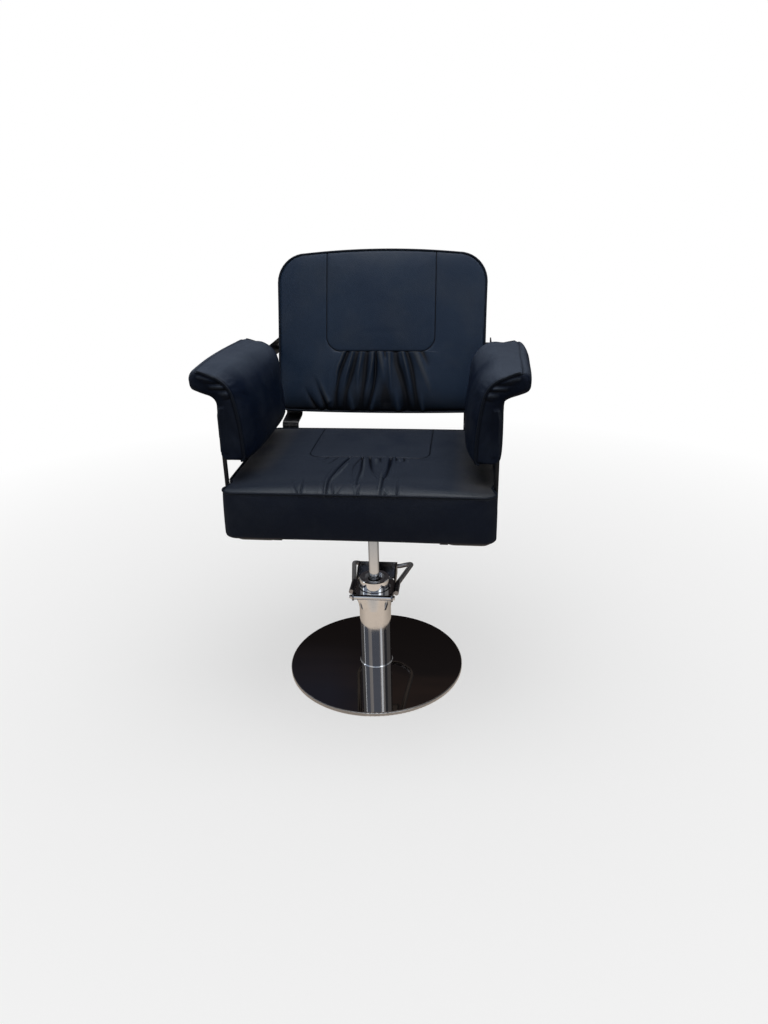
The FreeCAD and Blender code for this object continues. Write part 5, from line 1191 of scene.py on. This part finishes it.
# %% Stuff one arm pad
ARM_BULGE = 0.020
TIP_BOW = 0.005
SHOULDER_PUFF = 0.008
TOP_SEAM_X = 0.3125
TOP_SEAM_Z = 0.7942
TOP_SEAM_BOW = 0.003
SOFT_RIM = 0.007
TIP_RIM = 0.015
PIPED_RIM = 0.002
ARM_CAP = 0.0045
ARM_STATIONS = [0, 0.0005, 0.0015, 0.003, 0.005, 0.008, 0.011, 0.02, 0.04, 0.07, 0.10, 0.14, 0.1785]
ARM_WRINKLES = [
    (-3.2, 2.4, 1.0, 0.1, [(246, 758), (266, 757), (296, 757)]),
    (2.4, 3.4, 1.0, 0.1, [(252, 765), (272, 763), (292, 763)]),
    (-2.6, 2.4, 1.0, 0.1, [(259, 769), (280, 769), (304, 769)]),
    (2.0, 3.6, 0.2, 1.0, [(272, 777), (292, 779), (312, 783)]),
    (1.6, 4.0, 0.9, 0.0, [(247, 751), (262, 749), (278, 748)]),
    (-1.6, 3.0, 0.8, 0.0, [(243, 742), (256, 738), (268, 736)]),
]


def along_arm(y):
    """-1 at the front end of an arm, 1 at its rear end."""
    return 2 * (y - ARM_FRONT) / (ARM_REAR - ARM_FRONT) - 1


def arm_ring(y):
    """The section at a place along the arm: rounded at the ends, full inside, bowed at the tip."""
    away = min(y - ARM_FRONT, ARM_REAR - y)
    across = (ARM_SPOTS[:, 0] - ARM_INNER) / ARM_WIDTH
    level = (ARM_SPOTS[:, 1] - ARM_BOTTOM) / ARM_HEIGHT
    rim = np.where(ARM_PIPED, PIPED_RIM, SOFT_RIM + (TIP_RIM - SOFT_RIM) * smooth_step((across - 0.8) / 0.1))
    into = np.clip(rim - away, 0, None)
    inset = rim - np.sqrt(np.maximum(rim * rim - into * into, 0))
    along = abs(along_arm(y))
    inner = ARM_PIPED * smooth_step((0.78 - across) / 0.4)
    height = smooth_step((level + 0.04) / 0.12) * (1 - 0.25 * smooth_step((level - 0.45) / 0.5))
    push = ARM_BULGE * (1 - along ** 4.5) * inner * height
    shoulder = bell(level - 0.78, 0.16) * smooth_step((y + 0.04) / 0.12)
    push += SHOULDER_PUFF * (1 - along ** 12) * inner * shoulder
    push += TIP_BOW * (1 - along ** 2.5) * smooth_step((across - 0.78) / 0.15)
    spots = ARM_SPOTS + outward(ARM_SPOTS) * (push - inset)[:, None]
    return [Vector((x, y, z)) for x, z in spots]


def arm_pad():
    stations = ARM_STATIONS[:-1] + [ARM_REAR - ARM_FRONT - away for away in reversed(ARM_STATIONS)]
    piece = closed_block("ArmPadLeft", [arm_ring(ARM_FRONT + station) for station in stations])
    bpy.context.view_layer.update()
    solid = bmesh.new()
    solid.from_mesh(piece.data)
    bmesh.ops.recalc_face_normals(solid, faces=solid.faces)
    solid.to_mesh(piece.data)
    solid.free()
    resurface(piece, NET)
    x, y, z = points_of(piece).T
    top_seam = np.hypot(x - TOP_SEAM_X, z - TOP_SEAM_Z) < 0.7 * NET
    ends = np.minimum(y - ARM_FRONT, ARM_REAR - y) < 0.7 * NET
    piped = ARM_SPOTS[ARM_PIPED].T[:, None, :]
    near_piping = np.min(np.hypot(x[:, None] - piped[0], z[:, None] - piped[1]), axis=1) < 1.2 * NET
    under = z < ARM_BOTTOM + 0.5 * NET
    return divide(stuff(piece, top_seam | (ends & near_piping) | under, ARM_CAP))


def arm_creases(table):
    """How far seams, rims and wrinkles move each point of an arm pad, and the painted shade and highlight
    they give it.
    """
    x, y, z = table.T
    spots = np.stack([x, z], axis=1)
    seam = np.hypot(x - TOP_SEAM_X - TOP_SEAM_BOW * (1 - along_arm(y) ** 2), z - TOP_SEAM_Z)
    away = np.minimum(y - ARM_FRONT, ARM_REAR - y)
    inner = smooth_step((ARM_INNER + 0.86 * ARM_WIDTH - x) / 0.006)
    end = smooth_step((0.008 - away) / 0.006)
    rim = np.abs(beside_path(spots, ARM_SPOTS[ARM_PIPED])[0])
    height = -0.0020 * bell(seam, 0.0026) - 0.0010 * bell(away - 0.0048, 0.0022) * inner
    height -= 0.0014 * bell(rim - 0.0048, 0.0018) * end
    # Painted shade along the top seam, beside the ends and beside the piping.
    tone = -0.95 * bell(seam, 0.0017) - 0.5 * bell(away - 0.0048, 0.0016) * inner
    tone -= 0.95 * bell(rim - 0.0044, 0.0016) * end
    swell, shine = lay_folds(spots, ARM_WRINKLES)
    face = smooth_step((ARM_FRONT + 0.008 - y) / 0.006) * smooth_step((rim - 0.003) / 0.003)
    return height + swell * face, tone + shine * face


arm_left = arm_pad()
bent, toned = arm_creases(points_of(arm_left))
press(arm_left, bent)
print("arm pad:", len(arm_left.data.vertices), "points")

# %% [markdown]
# The front rod's upper end is hidden in the pad, so the skin is kept a little outside it. The other
# arm is the mirror image. Both wings have sagged with use at their outer rear corners, the sitter's
# left one further than the right one.

# %% Mirror the pad and let both wings settle
ROD_OUTER = 0.277
ROD_FRONT_FACE = -0.2005
ROD_SKIN = 0.0012
ROD_TOP = 0.702
LEFT_WING = (0.010, 0.010)
RIGHT_WING = (0.005, 0.0)


def cover_rod(piece):
    """Keeps a pad's skin a little outside the front rod, whose upper end it hides."""
    table = points_of(piece)
    x, y, z = table.T
    aside = ROD_OUTER + ROD_SKIN - 0.004 * smooth_step((z - ROD_TOP) / 0.02) - x
    ahead = y - ROD_FRONT_FACE + ROD_SKIN
    beside = (x > ROD_OUTER - 0.015) & (y < -0.188) & (z > 0.628) & (z < ROD_TOP + 0.02)
    caught = beside & (aside > 0) & (ahead > 0)
    table[:, 0] = np.where(caught & (aside < ahead), x + aside, x)
    table[:, 1] = np.where(caught & (aside >= ahead), ROD_FRONT_FACE - ROD_SKIN, y)
    set_points(piece, table)


def mirror_of(piece, name):
    """The same piece on the chair's other side."""
    faces = [tuple(reversed(face.vertices)) for face in piece.data.polygons]
    made = new_piece(name, points_of(piece) * (-1, 1, 1), faces)
    made.data.shade_smooth()
    return made


def settle(piece, sag, spread):
    """Lets the outer rear corner of a wing hang lower and stand further out."""
    table = points_of(piece)
    x, y, z = table.T
    share = smooth_step((y - ARM_FRONT - 0.10) / 0.26) * smooth_step((np.abs(x) - 0.240) / 0.075)
    share = share * smooth_step((z - 0.70) / 0.05)
    table[:, 2] -= sag * share
    table[:, 0] += spread * share
    set_points(piece, table)


cover_rod(arm_left)
arm_right = mirror_of(arm_left, "ArmPadRight")
for arm, node, wing in ((arm_left, "arm_pad_left", LEFT_WING), (arm_right, "arm_pad_right", RIGHT_WING)):
    settle(arm, *wing)
    tell_fold_shading(arm, toned)
    arm.data.materials[0] = ARM_LEATHERETTE
    seat_in_place(arm, node)

# %% [markdown]
# The piping of an arm follows the show side of each end. A sewer starts and stops it by tucking its
# end into the seam, so that no cut end shows.

# %% Sew piping on the arms' rims
ARM_PIPING_RADIUS = 0.0018
ARM_PIPING_IN = 0.0008
TUCK = 0.009


def arm_piping(name, y, side):
    inset = ARM_PIPING_RADIUS / 2 if y > 0 else 0
    spots = (ARM_SPOTS - outward(ARM_SPOTS) * inset)[ARM_PIPED]
    rim = [Vector((x * side, y, z)) for x, z in spots][1:]
    into = math.copysign(TUCK, (ARM_FRONT + ARM_REAR) / 2 - y)
    rim[0] += Vector((0, into, -0.6 * TUCK))
    rim[-1] += Vector((0, into, 0.3 * TUCK))
    return piping(name, rim, ARM_PIPING_RADIUS)


for side, word, wing in ((1, "Left", LEFT_WING), (-1, "Right", RIGHT_WING)):
    arm_piping(f"ArmPipingFront{word}", ARM_FRONT + ARM_PIPING_IN, side)
    settle(arm_piping(f"ArmPipingRear{word}", ARM_REAR - ARM_PIPING_IN, side), *wing)

# %% [markdown]
# ## The rear cover
#
# A thin padded panel closes the back behind its board. Its outer edge is rounded, its middle swells a
# little, and its inner face has two shallow channels for the straps, with a hollow over each screw.

# %% Pad the rear cover
COVER_NET = 0.0035
COVER_INSET = 0.004
COVER_THICK = 0.012
COVER_EDGE = 0.005
COVER_SWELL = 0.004
COVER_OUTER_INSETS = (0.184, 0.15, 0.12, 0.09, 0.065, 0.045, 0.03, 0.02, 0.013)
COVER_INNER_INSETS = (0.012, 0.03, 0.06, 0.10, 0.15, 0.184)
EDGE_STEPS = 6
STRAP_INNER = 0.2005
STRAP_TOP = 0.106
STRAP_CHANNEL = 0.0058
SCREW_HOLLOW = 0.0092
SCREW_HOLLOW_RADIUS = 0.0075
SCREW_ACROSS = 0.225
SCREW_LEVELS = (0.017, 0.069)


def cover_rings():
    """Rings from the middle of the outer face, over the edge, to the middle of the inner face."""
    steps = [(inset, -COVER_THICK) for inset in COVER_OUTER_INSETS]
    for step in range(EDGE_STEPS + 1):
        angle = math.pi / 2 * step / EDGE_STEPS
        inset = COVER_INSET + COVER_EDGE * (1 - math.sin(angle))
        steps.append((inset, -COVER_THICK + COVER_EDGE * (1 - math.cos(angle))))
    steps += [(COVER_INSET, -0.0045), (COVER_INSET, -0.0025), (COVER_INSET + 0.0015, -SOFT_GAP)]
    steps += [(inset, -SOFT_GAP) for inset in COVER_INNER_INSETS]
    for inset, level in steps:
        swell = COVER_SWELL * float(smooth_step((inset - COVER_INSET) / 0.06)) if level <= -COVER_THICK else 0
        yield outline(BACK, inset, level - swell)


def cover_of_back():
    piece = resurface(closed_block("BackCover", list(cover_rings())), COVER_NET)
    table = points_of(piece)
    u, v, w = table.T
    channel = (np.abs(u) > STRAP_INNER) & (v < STRAP_TOP)
    table[channel, 2] = np.minimum(w[channel], -STRAP_CHANNEL)
    for level in SCREW_LEVELS:
        over = np.hypot(np.abs(u) - SCREW_ACROSS, v - level) < SCREW_HOLLOW_RADIUS
        table[over, 2] = np.minimum(table[over, 2], -SCREW_HOLLOW)
    set_points(piece, table)
    into_chair(piece, BACK_FRAME)
    piece.data.shade_smooth()
    return piece


seat_in_place(cover_of_back(), "back_cover")

# %% [markdown]
# ## The dust cover and its staples
#
# Thin black cloth closes the seat's underside, pulled flat and stapled to the board. The staples are
# bent from flat wire and sit about 6 cm apart.

# %% Lay the dust cover and staple it
DUST_HALF = 0.252
DUST_FRONT = -0.234
DUST_REAR = 0.169
DUST_LEVEL = 0.4596
DUST_THICK = 0.0004
DUST_RIPPLE = 0.00012
DUST_STEPS = 60
STAPLE_PITCH = 0.060
STAPLE_INSET = 0.008
STAPLE_HALF, STAPLE_WIDE, STAPLE_THIN = 0.0052, 0.0006, 0.0003
STAPLE_PROFILE = ((-1, -1), (1, -1), (1.0, 0.4), (0.6, 1), (-0.6, 1), (-1.0, 0.4))


def dust_cover():
    wide = DUST_STEPS + 1
    points, faces = [], []
    for y in np.linspace(DUST_FRONT, DUST_REAR, wide):
        for x in np.linspace(-DUST_HALF, DUST_HALF, wide):
            ripple = math.sin(x * 190 + 2 * math.sin(y * 40)) * math.sin(y * 150 + 1.5 * math.sin(x * 35))
            points.append((x, y, DUST_LEVEL + DUST_RIPPLE * ripple))
    for row in range(DUST_STEPS):
        for first in range(row * wide, row * wide + DUST_STEPS):
            faces.append((first, first + 1, first + wide + 1, first + wide))
    piece = new_piece("DustCover", points, faces, "dust_cloth")
    cloth = piece.modifiers.new("Thickness", "SOLIDIFY")
    cloth.thickness = DUST_THICK
    cloth.offset = 0
    return piece


def staple_box(centre, along, points, faces):
    """A staple's crown: a flat bar with its edges taken off."""
    across = Vector((-along.y, along.x, 0)) * STAPLE_WIDE
    base, count = len(points), len(STAPLE_PROFILE)
    for end in (-STAPLE_HALF, STAPLE_HALF):
        for a, b in STAPLE_PROFILE:
            points.append(centre + along * end + across * a - Vector((0, 0, STAPLE_THIN)) * b)
    faces += [tuple(base + corner for corner in face) for face in ring_faces(2, count)]


def staples():
    points, faces = [], []
    left, right = -DUST_HALF + STAPLE_INSET, DUST_HALF - STAPLE_INSET
    front, rear = DUST_FRONT + STAPLE_INSET, DUST_REAR - STAPLE_INSET
    front_left, front_right, rear_left, rear_right = (
        Vector((x, y, DUST_LEVEL - DUST_THICK)) for y in (front, rear) for x in (left, right)
    )
    across = ((front_left, front_right), (rear_left, rear_right))
    along = ((front_left, rear_left), (front_right, rear_right))
    for start, end in across + along:
        count = round((end - start).length / STAPLE_PITCH)
        for index in range(count):
            staple_box(start.lerp(end, (index + 0.5) / count), (end - start).normalized(), points, faces)
    return new_piece("DustCoverStaples", points, faces, "zinc_steel")


dust = dust_cover()
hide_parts("seat_dust_cover")
print("staples:", len(staples().data.vertices) // (2 * len(STAPLE_PROFILE)))

# %% [markdown]
# ## The plunger's spring
#
# The small pump plunger behind the column is pushed back up by a coil spring. A coil changes its
# length when the pedal is pressed, so it is drawn again as a wire of its own, just short enough to
# stay under the plunger's button. Its end turns lie flat.

# %% Wind the spring
SPRING_BOTTOM = 0.1603
SPRING_TOP = 0.2084
SPRING_CENTRE_Y = 0.060
SPRING_RADIUS = 0.01025
WIRE_RADIUS = 0.001
END_TURN_RISE = 0.0021
SPRING_TURNS = 9
STEPS_A_TURN = 28


def wind_spring():
    climb = SPRING_TOP - SPRING_BOTTOM - 2 * WIRE_RADIUS - 2 * END_TURN_RISE
    path = []
    for step in range(SPRING_TURNS * STEPS_A_TURN + 1):
        turn = step / STEPS_A_TURN
        level = SPRING_BOTTOM + WIRE_RADIUS + climb * min(max((turn - 1) / (SPRING_TURNS - 2), 0), 1)
        level += END_TURN_RISE * (min(turn, 1.0) + 1 - min(SPRING_TURNS - turn, 1.0))
        x, y = (SPRING_RADIUS * wave(2 * math.pi * turn) for wave in (math.cos, math.sin))
        path.append((x, SPRING_CENTRE_Y + y, level))
    return tube("PlungerSpringCoil", path, WIRE_RADIUS, "spring_steel", "base", sides=8)


coil = wind_spring()
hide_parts("plunger_spring")
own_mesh(coil)

# %% [markdown]
# ## Floor, light and what the mirrors see
#
# The chair stands on a plain pale floor in front of white, under one large soft lamp and a soft white
# surrounding. Chrome and the mirror base only look like metal when there is something to reflect, so
# cards stand round the set: a dim room behind, a dusk-blue wall in front and to the left, a grey one
# to the right and two bright strips. The camera and the soft light don't see the cards: only
# reflections do, as with the flags of a product photographer. The floor keeps the chair's shadow near
# it and fades to white further away, and chrome sees it as warm terrazzo with chips.

# %% Build the set
FLOOR_HALF = 8.0
WORLD_LIGHT = 0.14
ROOM_DARK = (0.022, 0.018, 0.018, 1)
ROOM_DIM = (0.044, 0.040, 0.042, 1)
ROOM_BROWN = (0.070, 0.050, 0.044, 1)
ROOM_DUSK = (0.046, 0.048, 0.070, 1)


def stage_card(name, corners, material):
    mesh = bpy.data.meshes.new(name)
    mesh.from_pydata(corners, [], [(0, 1, 2, 3)])
    mesh.materials.append(material)
    card = add_object(name, mesh)
    return card


def floor_material():
    mix = Recipe("PaleFloor")
    spot = mix.ground("Position")
    path = mix.add("LightPath").outputs
    tone = mix.mixed(mix.cloudy(3.0, 3.0, spot=spot), (0.80, 0.80, 0.80, 1), (0.82, 0.82, 0.82, 1))
    tone = mix.mixed(path["Is Diffuse Ray"], tone, (0.24, 0.24, 0.25, 1))
    pale = mix.add("BsdfDiffuse", {"Color": tone}).outputs[0]
    away = mix.add("VectorMath", {0: spot}, operation="LENGTH").outputs["Value"]
    share = mix.times(mix.between(away, 0.62, 1.0, 0.3, 2.2), path["Is Camera Ray"])
    seen = mix.add("MixShader", {0: share, 1: pale, 2: mix.glow((1, 1, 1, 1))}).outputs[0]
    dim = mix.between(away, 1.0, 0.25, 0.45, 0.95)
    behind = mix.between(mix.parts(spot)["Y"], 1.0, 0.30, -0.15, 0.40)
    chips = mix.mixed(mix.cloudy(60.0, 4.0, spot=spot), (0.72, 0.60, 0.50, 1), (0.96, 0.82, 0.68, 1))
    chips = mix.mixed(mix.between(away, 0.0, 1.0, 0.42, 0.75), chips, (1.02, 0.98, 0.94, 1))
    mirrored = mix.glow(chips, mix.times(dim, behind))
    return mix.shown(mix.add("MixShader", {0: path["Is Glossy Ray"], 1: seen, 2: mirrored}).outputs[0])


def card_material(name, low, high):
    """A card that glows faintly, from one tone at its foot to another at its top."""
    mix = Recipe(name)
    height = mix.parts(mix.ground("Position"))["Z"]
    return mix.shown(mix.glow(mix.mixed(mix.between(height, 0.0, 1.0, 1.5, 5.0), low + (1,), high + (1,))))


def room_material():
    """The dim room that the mirror base shows: brown furniture, and dusk from a window to the left."""
    mix = Recipe("RoomBehind")
    spot = mix.ground("Position")
    parts = mix.parts(spot)
    tone = mix.mixed(mix.between(parts["Z"], 0.0, 1.0, 1.5, 2.5), ROOM_DARK, ROOM_DIM)
    low = mix.between(parts["Z"], 0.0, 1.0, 1.70, 2.10)
    bands = mix.streaky((0.9, 1.0, 6.0), 4.0, 0.6, spot)
    tone = mix.mixed(mix.times(mix.between(bands, 0.0, 0.8, 0.48, 0.62), low), tone, ROOM_BROWN)
    side = mix.between(parts["X"], 0.6, 0.0, -1.15, -0.80)
    corner = mix.times(mix.between(parts["X"], 1.0, 0.0, -0.66, -0.30), low)
    return mix.shown(mix.glow(mix.mixed(mix.larger(side, corner), tone, ROOM_DUSK)))


def reflector(name, bearing, distance, width, low, high, material):
    """An upright card at a bearing from the chair, seen only in reflections."""
    turn = math.radians(bearing)
    middle = Vector((math.sin(turn), math.cos(turn), 0)) * distance
    across = Vector((math.cos(turn), -math.sin(turn), 0)) * width / 2
    near, far = middle - across, middle + across
    corners = [(end.x, end.y, level) for end, level in ((near, low), (far, low), (far, high), (near, high))]
    card = stage_card(name, corners, material)
    for ray in ("camera", "diffuse", "shadow", "transmission"):
        setattr(card, "visible_" + ray, False)


BLUE_DUSK = card_material("BlueDusk", (0.34, 0.39, 0.49), (0.50, 0.57, 0.68))
GREY_WALL = card_material("GreyWall", (0.10, 0.11, 0.13), (0.17, 0.18, 0.20))
BRIGHT_STRIP = card_material("BrightStrip", (2.6, 2.8, 3.0), (3.0, 3.2, 3.4))
floor_corners = [(x * FLOOR_HALF, y * FLOOR_HALF, 0) for x, y in ((-1, -1), (1, -1), (1, 1), (-1, 1))]
stage_card("Floor", floor_corners, floor_material())
reflector("CardBehind", 0, 2.6, 5.2, 0.55, 5.5, room_material())
reflector("CardFront", 176, 2.9, 3.2, 1.35, 4.2, BLUE_DUSK)
reflector("CardLeft", -112, 2.6, 1.6, 0.7, 3.6, BLUE_DUSK)
reflector("CardRight", 100, 2.6, 1.1, 0.7, 3.6, GREY_WALL)
reflector("StripRight", 134, 2.5, 0.6, 0.7, 3.4, BRIGHT_STRIP)
reflector("StripLeft", -92, 2.5, 0.25, 0.7, 3.4, BRIGHT_STRIP)
print("cards stand round the chair")

# %% [markdown]
# The surrounding is white to the camera, gives a little even light, and is dimmer in chrome towards
# the rear. The lamp is as large as the set, so its shadows are soft.

# %% Light the set
def white_world():
    mix = Recipe("Studio", bpy.data.worlds, "Background", Color=(1, 1, 1, 1))
    path = mix.add("LightPath").outputs
    ahead = mix.parts(mix.add("TexCoord").outputs["Generated"])["Y"]
    soft = mix.times(path["Is Glossy Ray"], mix.between(ahead, 1.0, 0.30, -0.7, 0.1))
    rest = mix.math("SUBTRACT", 1.0, path["Is Glossy Ray"])
    lit = mix.between(path["Is Camera Ray"], WORLD_LIGHT, 1.0)
    mix.feed(mix.shader.inputs["Strength"], mix.plus(soft, mix.times(rest, lit)))
    return mix.made


def soft_lamp(place, target, size, power):
    lamp = add_object("Overhead", bpy.data.lights.new("Overhead", "AREA"))
    lamp.data.shape = "RECTANGLE"
    lamp.data.size, lamp.data.size_y = size
    lamp.data.energy = power
    lamp.location = place
    lamp.rotation_euler = (Vector(target) - Vector(place)).to_track_quat("-Z", "Y").to_euler()


scene.world = white_world()
soft_lamp((0.1, -0.35, 3.0), (0, 0, 0.5), (2.6, 2.2), 58)
scene.view_settings.view_transform = "Standard"
print("set lit")
